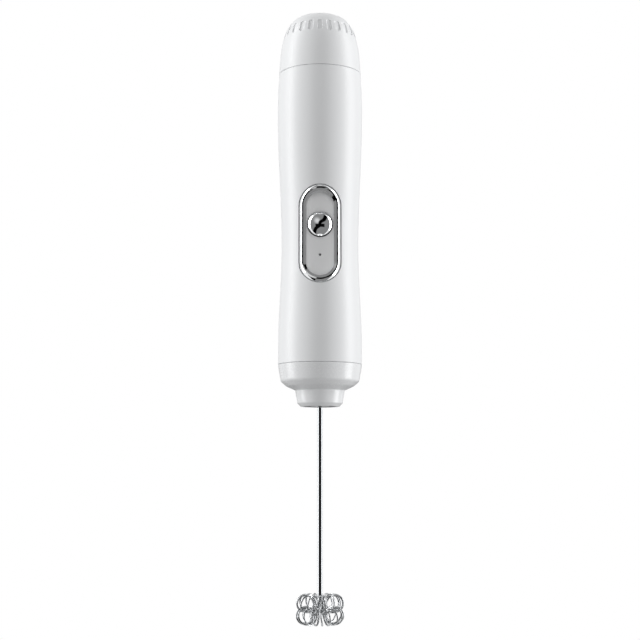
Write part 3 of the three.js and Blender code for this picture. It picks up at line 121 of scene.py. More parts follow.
class GripSizes(PropertyGroup):
    """The outer line of the grip and its wall."""

    bulge: length("Upper bulge", "Radius at the widest point", metres("handle_shell", 1, 0))
    waist: length("Waist depth", "How far the waist is drawn in from the bulge", 0.0017)
    upper_height: length("Upper bulge height", "Height of the widest point", 0.0564)
    lower_height: length("Lower bulge height", "Height where the lower bulge ends", -0.040)
    wall: length("Wall", "Thickness of the grip's wall", 0.0018)


class CapSizes(PropertyGroup):
    """The end cap and its finger flutes."""

    draft: length("Draft", "Radius lost on the way up the cap", 0.0014)
    flutes: IntProperty(name="Flutes", description="Flutes round the shoulder", default=24, min=3)
    flute_width: length("Flute width", "Width of one flute", 0.0021)
    flute_depth: length("Flute depth", "Depth of a flute at its foot", 0.00048)
    flute_foot: length("Flute foot", "Height of a flute's foot above the seam", 0.0157)
    flute_top: length("Flute top", "Height of a flute's top above the seam", 0.0187)


class FrontSizes(PropertyGroup):
    """The bezel, the panel and the button on the front."""

    bezel_width: length("Bezel width", "Width of the bezel", 0.0166)
    bezel_height: length("Bezel height", "Height of the bezel", 0.0391)
    bezel_rim: length("Rim", "Width of the bezel's ring", 0.0027)
    proud: length("Proud", "How far the ring stands off the grip", 0.0005)
    button_radius: length("Button radius", "Radius of the push button", 0.0049)
    button_crown: length("Button crown", "Height of the button's crown", 0.0035)
    pinhole: length("Pinhole radius", "Radius of the light's pinhole", 0.0005)


class WhiskSizes(PropertyGroup):
    """The rod and the wires of the whisk."""

    rod: length("Rod radius", "Radius of the rod", metres("whisk_rod", 1, 0))
    ring_wire: length("Ring wire", "Thickness of the ring's wire", 0.0009)
    coil_wire: length("Coil wire", "Thickness of the coils' wire", 0.0007)
    ring: length("Ring radius", "Radius of the ring's centre line", 0.00599)
    coil: length("Coil radius", "Radius of a coil's turns", 0.00325)
    offset: length("Coil offset", "Height of a coil's middle above the ring", 0.00238)
    turns: IntProperty(name="Turns", description="Turns that would fill a coil", default=16, min=4)


class Colours(PropertyGroup):
    """The colours of the outer finishes, as linear values."""

    white: colour("White plastic", "Grip and cap", (0.83, 0.84, 0.85))
    nose: colour("Nose", "Glossier white of the nose", (0.83, 0.84, 0.85))
    panel: colour("Panel", "Grey behind the button", (0.90, 0.905, 0.91))
    chrome: colour("Chrome", "Bezel and button", (0.86, 0.87, 0.88))
    steel: colour("Rod steel", "Rod and ring", (0.40, 0.41, 0.42))
    wire: colour("Coil steel", "Both coils", (0.47, 0.48, 0.49))


class StudioSettings(PropertyGroup):
    """Where the camera stands and how bright the studio is."""

    distance: length("Camera distance", "Distance in front of the axis", 0.560)
    height: length("Camera height", "Height of the camera", -0.093)
    aim: length("Aim height", "Height on the axis that it looks at", -0.02878)
    half_view: bearing("Half view", "Half the angle of view", 0.224649)
    side_light: FloatProperty(
        name="Side lights", description="Power of each side light", default=15.6, unit="POWER"
    )
    side_angle: bearing("Side angle", "Angle of the side lights from the front", 1.55)
    fill: brightness("Front fill", "Level of the room in front", 0.86)
    back: brightness("Back fill", "Level of the room behind", 0.80)
    room: brightness("Room", "Level of the room round the object", 0.05)
    above: brightness("Above", "Level of the room above the object", 0.40)
    below: brightness("Below", "Level of the room below the object", 0.25)


def settings(name):
    return getattr(bpy.context.scene, f"frother_{name}")


# ---------- Lines and levels ----------


def bulge_blend(share):
    """Half a cosine wave, from 0 at share 0 to 1 at share 1."""
    return (1 - np.cos(np.pi * share)) / 2


def grip_radius(z):
    """Outer radius of the grip at height z: a cosine blend from the waist to each bulge, a
    parabola from the upper bulge in to the cap seam, and straight below the lower bulge."""
    g = settings("grip")
    bulge, waist = g.bulge / MM, (g.bulge - g.waist) / MM
    upper, lower = g.upper_height / MM, g.lower_height / MM
    above = bulge - (bulge - CAP_RADIUS) * ((z - upper) / (CAP_SEAM - upper)) ** 2
    rising = waist + (bulge - waist) * bulge_blend(z / upper)
    falling = waist + (NOSE_RADIUS - waist) * bulge_blend(z / lower)
    return np.select([z > upper, z > 0, z > lower], [above, rising, falling], NOSE_RADIUS)


# The seams, the rims on both sides of them and the cap. The grip's top rim is counterbored
# for the end frame.
CAP_RADIUS = node_box("top_cap")[1][0]
NOSE_RADIUS = node_box("nose_cone")[1][0]
CAP_SEAM = node_box("handle_shell")[1][2] + SEAM / 2
NOSE_SEAM = node_box("handle_shell")[0][2] - SEAM / 2
GRIP_TOP = CAP_SEAM - FINE_SEAM / 2
GRIP_FOOT = NOSE_SEAM + FINE_SEAM / 2
COUNTERBORE, COUNTERBORE_DEPTH = 1.1, 1.4
CAP_HEIGHT = node_box("top_cap")[1][2] - CAP_SEAM
CAP_FULLNESS = 3.4
CAP_WALL = 1.9

# Levels in front of the axis, and heights: the panel, the button's flange and stem, and the
# boss behind them, which has a well for the flange and a gland for the stem's seal.
PANEL_Z = middle("button_panel", 2)
PANEL_FACE = -node_box("button_panel")[0][1]
PANEL_BACK = -node_box("button_panel")[1][1]
BUTTON_Z = middle("power_button", 2)
FLANGE_RADIUS = node_box("power_button")[1][0]
FLANGE_THICKNESS = 0.8
BUTTON_TRAVEL = 0.6
STEM_END = -node_box("power_button")[1][1]
STEM_RADIUS = 1.5
GLAND_DEPTH, GLAND_HALF = 0.7, 0.4
PINHOLE_Z = middle("light_pipe", 2)
LIGHT_HOLE = 1.15
POCKET_FLOOR = PANEL_BACK - FIT
FLANGE_BACK = POCKET_FLOOR - FLANGE_THICKNESS
WELL_FLOOR = FLANGE_BACK - BUTTON_TRAVEL - FIT
BOSS_DEPTH, BOSS_WALL, BOSS_ROUND = 3.3, 1.2, 0.2
BOSS_BACK = POCKET_FLOOR - BOSS_DEPTH
PANEL_TUCK = 0.7


def dome(radius, height, fullness, draft, angles):
    """A superellipse from its equator to its pole: height times sin^(2/fullness), and a radius,
    less the draft gathered so far, times cos^(2/fullness)."""
    rise = np.sin(angles) ** (2 / fullness)
    spread = np.maximum(np.cos(angles), 0) ** (2 / fullness)
    return np.stack([(radius - draft * rise) * spread, height * rise], axis=-1)


def rounded(corners, steps=5):
    """A line through corners given as (across, up, rounding). Each corner with a rounding is
    replaced by points on the arc of that radius which touches both of its sides."""
    points = [np.array(c[:2], float) for c in corners]
    line = []
    for i, corner in enumerate(corners):
        if len(corner) < 3 or i in (0, len(corners) - 1):
            line.append(points[i][None])
            continue
        back = points[i - 1] - points[i]
        on = points[i + 1] - points[i]
        back, on = back / np.linalg.norm(back), on / np.linalg.norm(on)
        half = math.acos(np.clip(back @ on, -1, 1)) / 2
        centre = points[i] + (back + on) / np.linalg.norm(back + on) * corner[2] / math.sin(half)
        start = points[i] + back * corner[2] / math.tan(half) - centre
        end = points[i] + on * corner[2] / math.tan(half) - centre
        sweep = math.pi - 2 * half
        share = np.linspace(0, 1, steps + 1)[:, None]
        arc = (np.sin((1 - share) * sweep) * start + np.sin(share * sweep) * end) / math.sin(sweep)
        line.append(centre + arc)
    return np.concatenate(line)


def subdivided(line, step):
    """The same line with every stretch longer than the step cut into equal shorter ones."""
    pieces = []
    for a, b in zip(line[:-1], line[1:]):
        count = max(1, math.ceil(np.linalg.norm(b - a) / step))
        pieces.append(a + (b - a) * np.linspace(0, 1, count, endpoint=False)[:, None])
    return np.concatenate([*pieces, line[-1:]])


def stretches(stops, counts):
    """Evenly spaced values from each stop to the next in turn, without the last stop."""
    spans = zip(stops, stops[1:], counts)
    return np.concatenate([np.linspace(*span, endpoint=False) for span in spans])


# ---------- Meshes ----------


def linked(name, data):
    """A new object of this data, in the scene."""
    made = bpy.data.objects.new(name, data)
    bpy.context.scene.collection.objects.link(made)
    return made


def about_axis(radius, angle, height):
    """Points at a radius and a height, turned about the axis by an angle from the front."""
    points = np.broadcast_arrays(radius * np.sin(angle), -radius * np.cos(angle), height)
    return np.stack(points, axis=-1)


def on_front(x, z, level):
    """Points at x and z, at a level in front of the axis."""
    return np.stack([x, -level + 0 * x, z], axis=-1)


class Surface:
    """Grids of points in millimetres, welded along their shared edges into closed solids."""

    def __init__(self):
        self.points = []
        self.quads = []
        self.count = 0

    def grid(self, points, close_rows=False, close_columns=False):
        """Adds a grid of rows and columns of points with a quad between each four neighbours;
        a closed direction also joins its last line to its first."""
        rows, columns = points.shape[:2]
        row = np.arange(rows if close_rows else rows - 1)[:, None]
        column = np.arange(columns if close_columns else columns - 1)[None, :]
        next_row, next_column = (row + 1) % rows, (column + 1) % columns
        corners = [
            row * columns + column,
            row * columns + next_column,
            next_row * columns + next_column,
            next_row * columns + column,
        ]
        quads = np.stack(np.broadcast_arrays(*corners), axis=-1).reshape(-1, 4)
        self.quads.append(quads + self.count)
        self.points.append(points.reshape(-1, 3))
        self.count += rows * columns
        return self

    def turned(self, line, columns, centre=(0, 0, 0), close_rows=False):
        """Adds a line of (radius, height) turned about an upright axis through a centre."""
        angle = np.linspace(0, TURN, columns, endpoint=False)[None, :]
        points = about_axis(line[:, :1], angle, line[:, 1:])
        return self.grid(points + np.array(centre, float), close_rows, close_columns=True)

    def mesh(self, name, solid=True):
        """The grids as one smooth mesh in metres, with doubles welded. A solid has its faces
        turned outwards, and an error is raised if it isn't closed."""
        mesh = bpy.data.meshes.new(name)
        vertices = np.concatenate(self.points) * MM
        mesh.from_pydata(vertices.tolist(), [], np.concatenate(self.quads).tolist())
        work = bmesh.new()
        work.from_mesh(mesh)
        bmesh.ops.remove_doubles(work, verts=work.verts, dist=WELD * MM)
        if solid:
            bmesh.ops.dissolve_degenerate(work, dist=WELD * MM / 10, edges=work.edges)
            bmesh.ops.recalc_face_normals(work, faces=work.faces)
            if work.calc_volume(signed=True) < 0:
                bmesh.ops.reverse_faces(work, faces=work.faces)
            gaps = sum(not edge.is_manifold for edge in work.edges)
            if gaps:
                raise ValueError(f"{name} has {gaps} open edges")
        work.to_mesh(mesh)
        work.free()
        mesh.shade_smooth()
        return mesh

    def piece(self, name, body, slot, node, crease=35, look=None):
        """Makes the object that takes a node's place and rides a body, shaded smooth except at
        edges sharper than the crease. Its finish is its material slot's, unless another
        look is named."""
        mesh = self.mesh(name)
        mesh.set_sharp_from_angle(angle=math.radians(crease))
        mesh.materials.append(material(look or slot))
        made = linked(name, mesh)
        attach(made, body)
        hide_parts(node)


class StadiumLoop:
    """The family of stadium outlines round one centre, on the front.

    A point is its nearest centre, on the upright segment between the two end circles, plus the
    outline's end radius along the outward normal. Columns run from the right end of the top
    arc over it, down the left side, round the bottom arc and up the right side, and each side
    has a point at the height of the split between the two holes."""

    ARC, UPPER, LOWER, ACROSS = 64, 16, 7, 16

    def __init__(self, rise, split):
        arc = np.linspace(0, np.pi, self.ARC, endpoint=False)
        down = stretches((rise, split, -rise), (self.UPPER, self.LOWER))
        up = stretches((-rise, split, rise), (self.LOWER, self.UPPER))
        zero = np.zeros_like
        self.middles = np.concatenate([zero(arc) + rise, down, zero(arc) - rise, up])
        across = np.concatenate([np.cos(arc), zero(down) - 1, -np.cos(arc), zero(up) + 1])
        upwards = np.concatenate([np.sin(arc), zero(down), -np.sin(arc), zero(up)])
        self.normals = np.stack([across, upwards], axis=-1)
        self.columns = len(self.middles)
        self.left = self.ARC + self.UPPER
        self.right = self.columns - self.UPPER
        self.rise = rise

    def outline(self, radius):
        """The x and height of each column on the outline of this end radius."""
        points = self.normals * radius
        points[:, 1] += self.middles + PANEL_Z
        return points

    def row(self, radius, level):
        """One row of points on the outline, at a level or at a level worked out from x and z."""
        x, z = self.outline(radius).T
        return on_front(x, z, level(x, z) if callable(level) else level)

    def rows(self, profile):
        return np.stack([self.row(radius, level) for radius, level in profile])

    def borders(self, radius):
        """The closed borders of the outline's parts above and below the split."""
        points = self.outline(radius)
        across = np.linspace(0, 1, self.ACROSS, endpoint=False)[:, None]
        left, right = points[self.left], points[self.right]
        over, under = left + (right - left) * across, right + (left - right) * across
        top = np.concatenate([points[self.right :], points[: self.left], over])
        bottom = np.concatenate([points[self.left : self.right], under])
        return top, bottom

    def rays(self, radius, centres):
        """Unit directions from each hole's centre to the points of its border."""
        rays = []
        for border, centre in zip(self.borders(radius), centres):
            away = border - np.array([0, centre])
            rays.append(away / np.linalg.norm(away, axis=1)[:, None])
        return rays

    def plate(self, surface, radius, level, holes, rays, rows=4):
        """Adds the flat field between the outline and two round holes: in each part, straight
        rows from the hole's circle to the border."""
        share = np.linspace(0, 1, rows + 1)[:, None, None]
        for border, (centre, hole), ray in zip(self.borders(radius), holes, rays):
            circle = ray * hole + np.array([0, centre])
            field = circle + (border - circle) * share
            surface.grid(on_front(field[..., 0], field[..., 1], level), close_columns=True)


def bore(surface, centre, ray, line):
    """Adds a round wall about a hole's centre, on the hole's own rays, through rows given as
    (radius, level)."""
    rows = [on_front(ray[:, 0] * r, ray[:, 1] * r + centre, level) for r, level in line]
    surface.grid(np.stack(rows), close_columns=True)


TIP_SHARE = 0.7


def swept(surface, path, side, radius, sides=14, cap=5):
    """Adds a round wire along a path: circles in the plane of a side vector and its cross
    product with the path's direction, closed at each end by a rounded tip."""
    along = np.gradient(path, axis=0)
    along /= np.linalg.norm(along, axis=1)[:, None]
    side = side - along * np.sum(side * along, axis=1)[:, None]
    side /= np.linalg.norm(side, axis=1)[:, None]
    other = np.cross(along, side)
    angle = np.linspace(0, TURN, sides, endpoint=False)[None, :, None]
    circle = side[:, None] * np.cos(angle) + other[:, None] * np.sin(angle)
    tip = np.linspace(0, np.pi / 2, cap + 1)[1:, None, None]
    out, across = radius * TIP_SHARE * np.sin(tip), radius * np.cos(tip)
    first = path[0] - along[0] * out + circle[0] * across
    last = path[-1] + along[-1] * out + circle[-1] * across
    rows = np.concatenate([first[::-1], path[:, None] + circle * radius, last])
    surface.grid(rows, close_columns=True)


# ---------- Materials ----------


class Value:
    """A value in a material's nodes. Arithmetic on it adds Math nodes."""

    def __init__(self, nodes, socket):
        self.nodes = nodes
        self.socket = socket

    def __add__(self, other):
        return self.nodes.maths("ADD", self, other)

    def __radd__(self, other):
        return self.nodes.maths("ADD", other, self)

    def __sub__(self, other):
        return self.nodes.maths("SUBTRACT", self, other)

    def __rsub__(self, other):
        return self.nodes.maths("SUBTRACT", other, self)

    def __mul__(self, other):
        return self.nodes.maths("MULTIPLY", self, other)

    def __rmul__(self, other):
        return self.nodes.maths("MULTIPLY", other, self)

    def __pow__(self, other):
        return self.nodes.maths("POWER", self, other)

    def __rpow__(self, other):
        return self.nodes.maths("POWER", other, self)


class Nodes:
    """The emptied node tree of a material or a world, which nodes are added to by type,
    settings and the values of their sockets."""

    def __init__(self, owner):
        owner.use_nodes = True
        self.tree = owner.node_tree
        self.tree.nodes.clear()

    def add(self, kind, chosen=None, inputs=None):
        """Adds a node and gives its outputs as values. Settings are set before its sockets."""
        node = self.tree.nodes.new(kind)
        for name, value in (chosen or {}).items():
            setattr(node, name, value)
        for name, value in (inputs or {}).items():
            socket = node.inputs[name]
            if isinstance(value, Value):
                self.tree.links.new(value.socket, socket)
            else:
                socket.default_value = value
        return [Value(self, socket) for socket in node.outputs]

    def maths(self, operation, *values):
        """The result of a Math node on the values."""
        return self.add("ShaderNodeMath", {"operation": operation}, dict(enumerate(values)))[0]

    def noise(self, place, scale, detail=3, roughness=0.5):
        """A smooth noise of about 0 to 1 on Object coordinates, with cells 1/scale metres wide."""
        inputs = {"Vector": place, "Scale": scale, "Detail": detail, "Roughness": roughness}
        return self.add("ShaderNodeTexNoise", None, inputs)[0]

    def mixed(self, factor, low, high):
        """A colour between two, by a factor."""
        return self.add(
            "ShaderNodeMix",
            {"data_type": "RGBA", "clamp_factor": True},
            {0: factor, 6: with_alpha(low), 7: with_alpha(high)},
        )[2]

    def step(self, value, low, high):
        """0 below the low value, 1 above the high one and smooth between."""
        chosen = {"interpolation_type": "SMOOTHSTEP"}
        return self.add("ShaderNodeMapRange", chosen, {0: value, 1: low, 2: high})[0]


def with_alpha(shade):
    return shade if isinstance(shade, Value) else (*shade, 1)


def scaled(shade, factor):
    return tuple(min(1, channel * factor) for channel in shade)


FINE_SHARE, DRIFT_SHARE = 0.20, 0.16
RELIEF_HEIGHT = 0.0004


def finish(
    name,
    shade,
    rough,
    metal=0.0,
    grain=900,
    relief=0.02,
    mottle=0.03,
    cloud=60,
    pattern=None,
    constants=None,
):
    """A material whose colour and roughness drift with a soft cloud, whose surface has a fine
    grain, and whose pattern, if any, changes the colour, the roughness and the relief."""
    look = bpy.data.materials.new(name)
    nodes = Nodes(look)
    place = nodes.add("ShaderNodeTexCoord")[3]
    drift = nodes.noise(place, cloud, 2)
    height = fine = nodes.noise(place, grain, 4, 0.6)
    base = nodes.mixed(drift, scaled(shade, 1 - mottle), scaled(shade, 1 + mottle))
    plain = rough * (1 - (FINE_SHARE + DRIFT_SHARE) / 2)
    roughness = plain + fine * (rough * FINE_SHARE) + drift * (rough * DRIFT_SHARE)
    if pattern:
        base, roughness, height = pattern(nodes, place, base, roughness, fine)
    relief_inputs = {"Strength": relief, "Distance": RELIEF_HEIGHT, "Height": height}
    bump = nodes.add("ShaderNodeBump", None, relief_inputs)[0]
    inputs = {"Base Color": base, "Roughness": roughness, "Metallic": metal, "Normal": bump}
    inputs.update(constants or {})
    shader = nodes.add("ShaderNodeBsdfPrincipled", None, inputs)[0]
    nodes.add("ShaderNodeOutputMaterial", None, {"Surface": shader})
    return look


def parts(nodes, vector):
    """The x, y and z of a vector."""
    return nodes.add("ShaderNodeSeparateXYZ", None, {0: vector})


# ---------- Grip ----------


WINDOW_ANGLE = math.radians(50)
WINDOW_REACH = 24
WINDOW_EDGE = 0.12
SEAM_MIDWAY = 0.09


def grip_point(angle, z, inset=0.0):
    """A point of the grip's surface, or of one drawn in by the inset: its radius at height z,
    turned by the angle from the front."""
    return about_axis(grip_radius(z) - inset, angle, z)


def grip_level(inset=0.0):
    """How far in front of the axis the grip's surface lies, from x and z."""
    return lambda x, z: np.sqrt((grip_radius(z) - inset) ** 2 - x**2)


def grip_side(surface, loop, hole, inset, foot, top):
    """Adds one side of the grip's wall. Round the window, rows blend in angle and height from
    the stadium hole to a rectangle; the rest is rows of constant height that share its points."""
    outline = loop.outline(hole)
    ring_z = outline[:, 1]
    ring_angle = np.arcsin(outline[:, 0] / (grip_radius(ring_z) - inset))
    arc = np.linspace(WINDOW_ANGLE, -WINDOW_ANGLE, loop.ARC, endpoint=False)
    stretch = WINDOW_REACH / loop.rise
    side_z = loop.middles[loop.ARC : loop.ARC + loop.UPPER + loop.LOWER] * stretch + PANEL_Z
    right_z = loop.middles[2 * loop.ARC + loop.UPPER + loop.LOWER :] * stretch + PANEL_Z
    flat = np.zeros_like
    left_angle, right_angle = flat(side_z) - WINDOW_ANGLE, flat(right_z) + WINDOW_ANGLE
    frame_angle = np.concatenate([arc, left_angle, -arc, right_angle])
    high, low = PANEL_Z + WINDOW_REACH, PANEL_Z - WINDOW_REACH
    frame_z = np.concatenate([flat(arc) + high, side_z, flat(arc) + low, right_z])
    share = (np.linspace(0, 1, 15) ** 1.6)[:, None]
    angle = ring_angle + (frame_angle - ring_angle) * share
    z = ring_z + (frame_z - ring_z) * share
    surface.grid(grip_point(angle, z, inset), close_columns=True)
    front = np.linspace(-WINDOW_ANGLE, WINDOW_ANGLE, loop.ARC + 1)
    back = np.linspace(WINDOW_ANGLE, TURN - WINDOW_ANGLE, 105)[1:-1]
    around = np.concatenate([front, back])[None, :]
    for start, end, count in ((high, top, 30), (foot, low, 18)):
        heights = np.linspace(start, end, count)[:, None]
        surface.grid(grip_point(around, heights + 0 * around, inset), close_columns=True)
    behind = np.concatenate([[WINDOW_ANGLE], back, [TURN - WINDOW_ANGLE]])[None, :]
    heights = np.append(side_z, low)[:, None]
    surface.grid(grip_point(behind, heights + 0 * behind, inset))
    return around


def radius_at(z):
    """The grip's outer radius at one height."""
    return float(grip_radius(np.array(z)))


def front_loop():
    sizes = settings("front")
    rise = (sizes.bezel_height - sizes.bezel_width) / 2 / MM
    between = (BUTTON_Z - FLANGE_RADIUS - FIT + PINHOLE_Z + LIGHT_HOLE) / 2
    return StadiumLoop(rise, between - PANEL_Z)


class FROTHER_OT_grip(Operator):
    """Make the waisted grip with its window, the boss behind it and both rims"""

    bl_idname = "frother.grip"
    bl_label = "Grip"

    def execute(self, context):
        loop = front_loop()
        wall = settings("grip").wall / MM
        window = settings("front").bezel_width / MM / 2 + SLIP
        boss = window + BOSS_WALL
        surface = Surface()
        rim_top, rim_foot = GRIP_TOP - SEAM_ROUND, GRIP_FOOT + SEAM_ROUND
        ledge = CAP_SEAM - COUNTERBORE_DEPTH
        around = grip_side(surface, loop, window + WINDOW_EDGE, 0.0, rim_foot, rim_top)
        grip_side(surface, loop, boss, wall, GRIP_FOOT, ledge)
        reveal = [
            (window + WINDOW_EDGE, grip_level()),
            (window + 0.4 * WINDOW_EDGE, grip_level(0.2 * WINDOW_EDGE)),
            (window, grip_level(WINDOW_EDGE)),
            (window, POCKET_FLOOR + 1),
            (window, POCKET_FLOOR),
        ]
        boss_face = boss - BOSS_ROUND
        back = [
            (boss, grip_level(wall)),
            (boss, BOSS_BACK + BOSS_ROUND),
            (boss_face, BOSS_BACK),
        ]
        for profile in (reveal, back):
            surface.grid(loop.rows(profile), close_columns=True)
        self.make_holes(surface, loop, window, boss_face)
        step = CAP_RADIUS - COUNTERBORE
        top = [
            (radius_at(rim_top), rim_top),
            (radius_at(GRIP_TOP) - SEAM_MIDWAY, GRIP_TOP - SEAM_MIDWAY),
            (radius_at(GRIP_TOP) - SEAM_ROUND, GRIP_TOP),
            (step, GRIP_TOP),
            (step, ledge),
            (radius_at(ledge) - wall, ledge),
        ]
        foot = [
            (radius_at(GRIP_FOOT), rim_foot),
            (radius_at(GRIP_FOOT) - SEAM_MIDWAY, GRIP_FOOT + SEAM_MIDWAY),
            (radius_at(GRIP_FOOT) - SEAM_ROUND, GRIP_FOOT),
            (radius_at(GRIP_FOOT) - wall, GRIP_FOOT),
        ]
        for line in (np.array(top), np.array(foot)):
            surface.grid(about_axis(line[:, :1], around, line[:, 1:]), close_columns=True)
        surface.piece("grip_shell", "handle", "white_shell", "handle_shell")
        return {"FINISHED"}

    def make_holes(self, surface, loop, window, boss):
        """The pocket's floor and the boss's back with both holes between them. The button's
        hole is a well, a narrower bore for the stem and a groove in it for the seal."""
        rays = loop.rays(window, (BUTTON_Z, PINHOLE_Z))
        well, stem, light = FLANGE_RADIUS + FIT, STEM_RADIUS + FIT, LIGHT_HOLE
        loop.plate(surface, window, POCKET_FLOOR, [(BUTTON_Z, well), (PINHOLE_Z, light)], rays)
        loop.plate(surface, boss, BOSS_BACK, [(BUTTON_Z, stem), (PINHOLE_Z, light)], rays)
        seal = (WELL_FLOOR + BOSS_BACK) / 2
        gland = stem + GLAND_DEPTH
        line = [
            (well, POCKET_FLOOR),
            (well, WELL_FLOOR),
            (stem, WELL_FLOOR),
            (stem, seal + GLAND_HALF),
            (gland, seal + GLAND_HALF),
            (gland, seal - GLAND_HALF),
            (stem, seal - GLAND_HALF),
            (stem, BOSS_BACK),
        ]
        bore(surface, BUTTON_Z, rays[0], line)
        bore(surface, PINHOLE_Z, rays[1], [(light, POCKET_FLOOR), (light, BOSS_BACK)])


# ---------- Front ----------


# The bezel's crest lies between two distances in from its outer edge, and its bevel drops
# from there. Its outer edge starts under the grip's surface, by the skirt's inset.
CREST_OUTER, CREST_INNER, BEVEL_DROP = 1.05, 1.68, 0.46
SKIRT_INSET = 0.35
PANEL_EDGE = 0.05
BUTTON_EDGE_ANGLE = math.radians(50)


def ring_section(loop):
    """The bezel's closed section as rows of points. The level of its crest is set on a line
    along the crest's middle, a little proud of the grip. A shoulder slopes down from it to
    just under the grip's surface, the crest itself faces straight forwards, and a bevel
    slopes in to a short wall, the lip and the rebate that holds the panel's edge."""
    sizes = settings("front")
    outer, rim, proud = (v / MM for v in (sizes.bezel_width / 2, sizes.bezel_rim, sizes.proud))
    crest_middle = (CREST_OUTER + CREST_INNER) / 2
    crest = grip_level(-proud)(*loop.outline(outer - crest_middle).T)
    skirt = grip_level(SKIRT_INSET)(*loop.outline(outer).T)
    foot = crest - BEVEL_DROP
    lip, rebate = PANEL_FACE + FIT, rim - PANEL_TUCK - SLIP
    rows = [(0.0, PANEL_BACK), (0.0, skirt)]
    for share in np.linspace(0, 1, 9)[1:]:
        rise = 0.72 * share + 0.28 * math.sin(share * math.pi / 2)
        rows.append((CREST_OUTER * share**1.1, skirt + (crest - skirt) * rise))
    rows += [(crest_middle, crest + 0.01), (CREST_INNER, crest)]
    for share in np.linspace(0, 1, 5)[1:]:
        inwards = CREST_INNER + (rim - CREST_INNER) * share
        rows.append((inwards, crest + (foot - crest) * share))
    rows += [(rim, lip), (rebate, lip), (rebate, PANEL_BACK)]
    return np.stack([loop.row(outer - inwards, level) for inwards, level in rows])


class FROTHER_OT_front(Operator):
    """Make the chrome bezel, the grey panel and the push button"""

    bl_idname = "frother.front"
    bl_label = "Bezel, panel and button"

    def execute(self, context):
        sizes = settings("front")
        loop = front_loop()
        bezel = Surface()
        bezel.grid(ring_section(loop), close_rows=True, close_columns=True)
        bezel.piece("bezel_ring", "handle", "bezel_chrome", "button_bezel", 18)
        self.make_panel(loop, sizes)
        self.make_button(sizes)
        return {"FINISHED"}

    def make_panel(self, loop, sizes):
        """The panel: two flat plates, the wall between them and its two holes, each with its
        front edge rounded."""
        radius = (sizes.bezel_width / 2 - sizes.bezel_rim) / MM + PANEL_TUCK
        holes = ((BUTTON_Z, sizes.button_radius / MM + 2 * SLIP), (PINHOLE_Z, sizes.pinhole / MM))
        panel = Surface()
        rays = loop.rays(radius, (BUTTON_Z, PINHOLE_Z))
        wider = [(centre, size + PANEL_EDGE) for centre, size in holes]
        loop.plate(panel, radius, PANEL_FACE, wider, rays)
        loop.plate(panel, radius, PANEL_BACK, holes, rays)
        panel.grid(loop.rows([(radius, PANEL_FACE), (radius, PANEL_BACK)]), close_columns=True)
        for (centre, size), ray in zip(holes, rays):
            line = [
                (size + PANEL_EDGE, PANEL_FACE),
                (size + 0.3 * PANEL_EDGE, PANEL_FACE - 0.3 * PANEL_EDGE),
                (size, PANEL_FACE - PANEL_EDGE),
                (size, PANEL_BACK),
            ]
            bore(panel, centre, ray, line)
        panel.piece("front_panel", "handle", "grey_panel", "button_panel")

    def make_button(self, sizes):
        """The button: a stem, a flange, a short skirt and a crown, turned. The crown is part of
        a ball whose surface leans by the edge angle at the skirt."""
        radius, crown = sizes.button_radius / MM, sizes.button_crown / MM
        ball = radius / math.sin(BUTTON_EDGE_ANGLE)
        skirt = crown - ball * (1 - math.cos(BUTTON_EDGE_ANGLE))
        lean = np.linspace(BUTTON_EDGE_ANGLE, 0, 40)
        rise = PANEL_FACE + skirt + ball * (np.cos(lean) - math.cos(BUTTON_EDGE_ANGLE))
        cap = np.stack([ball * np.sin(lean), rise], axis=-1)
        corners = [
            (0, STEM_END),
            (STEM_RADIUS, STEM_END, 0.3),
            (STEM_RADIUS, FLANGE_BACK, 0.15),
            (FLANGE_RADIUS, FLANGE_BACK, 0.12),
            (FLANGE_RADIUS, POCKET_FLOOR, 0.12),
            (radius, POCKET_FLOOR, 0.1),
            (radius, PANEL_FACE - 0.4),
            (radius, PANEL_FACE + skirt, 0.12),
            tuple(cap[1]),
        ]
        button = Surface().turned(np.concatenate([rounded(corners)[:-1], cap[1:]]), 96)
        x, y, level = button.points[0].T
        button.points[0] = on_front(x, y + BUTTON_Z, level)
        button.piece("push_button", "button", "button_chrome", "power_button")


# ---------- Cap end ----------


CAP_SKIRT_WALL = 2.75
NECK_RADIUS = CAP_RADIUS - CAP_SKIRT_WALL - FIT
NECK_HEIGHT = 7.5
CAP_BORE = NECK_RADIUS + FIT
GASKET_THICKNESS = 0.8
GASKET_TOP = NECK_HEIGHT + FIT + GASKET_THICKNESS
SHOULDER_STEP, SHOULDER_ROUND = 1.1, 0.2
LUG_REACH = 1.2
LUG_WIDTH = 4.0
LUG_HALF = LUG_WIDTH / 2 / NECK_RADIUS
LUG_FOOT, LUG_TOP = 3.0, 4.4
FLUTE_SAMPLES = 24
FLUTE_BUNCHING = 0.0495
FLUTE_TOP_DEPTH = 0.30


def flute_cut(across, height, sizes):
    """How deep a flute cuts into the dome, from the distance across its middle and the height:
    a channel with round ends whose floor is nearly flat and whose walls are steep, one less
    the eighth power of the reach to the power 0.6, and which grows shallow towards its top."""
    half = sizes.flute_width / MM / 2
    foot, top = sizes.flute_foot / MM, sizes.flute_top / MM
    deep = sizes.flute_depth / MM
    share = np.clip((height - foot) / (top - foot), 0, 1)
    beyond = np.maximum(0, np.maximum(foot - height, height - top) * 1.25)
    reach = np.sqrt(across**2 + beyond**2) / half
    profile = np.maximum(0, 1 - reach**8) ** 0.6
    return (deep + (FLUTE_TOP_DEPTH - deep) * share) * profile


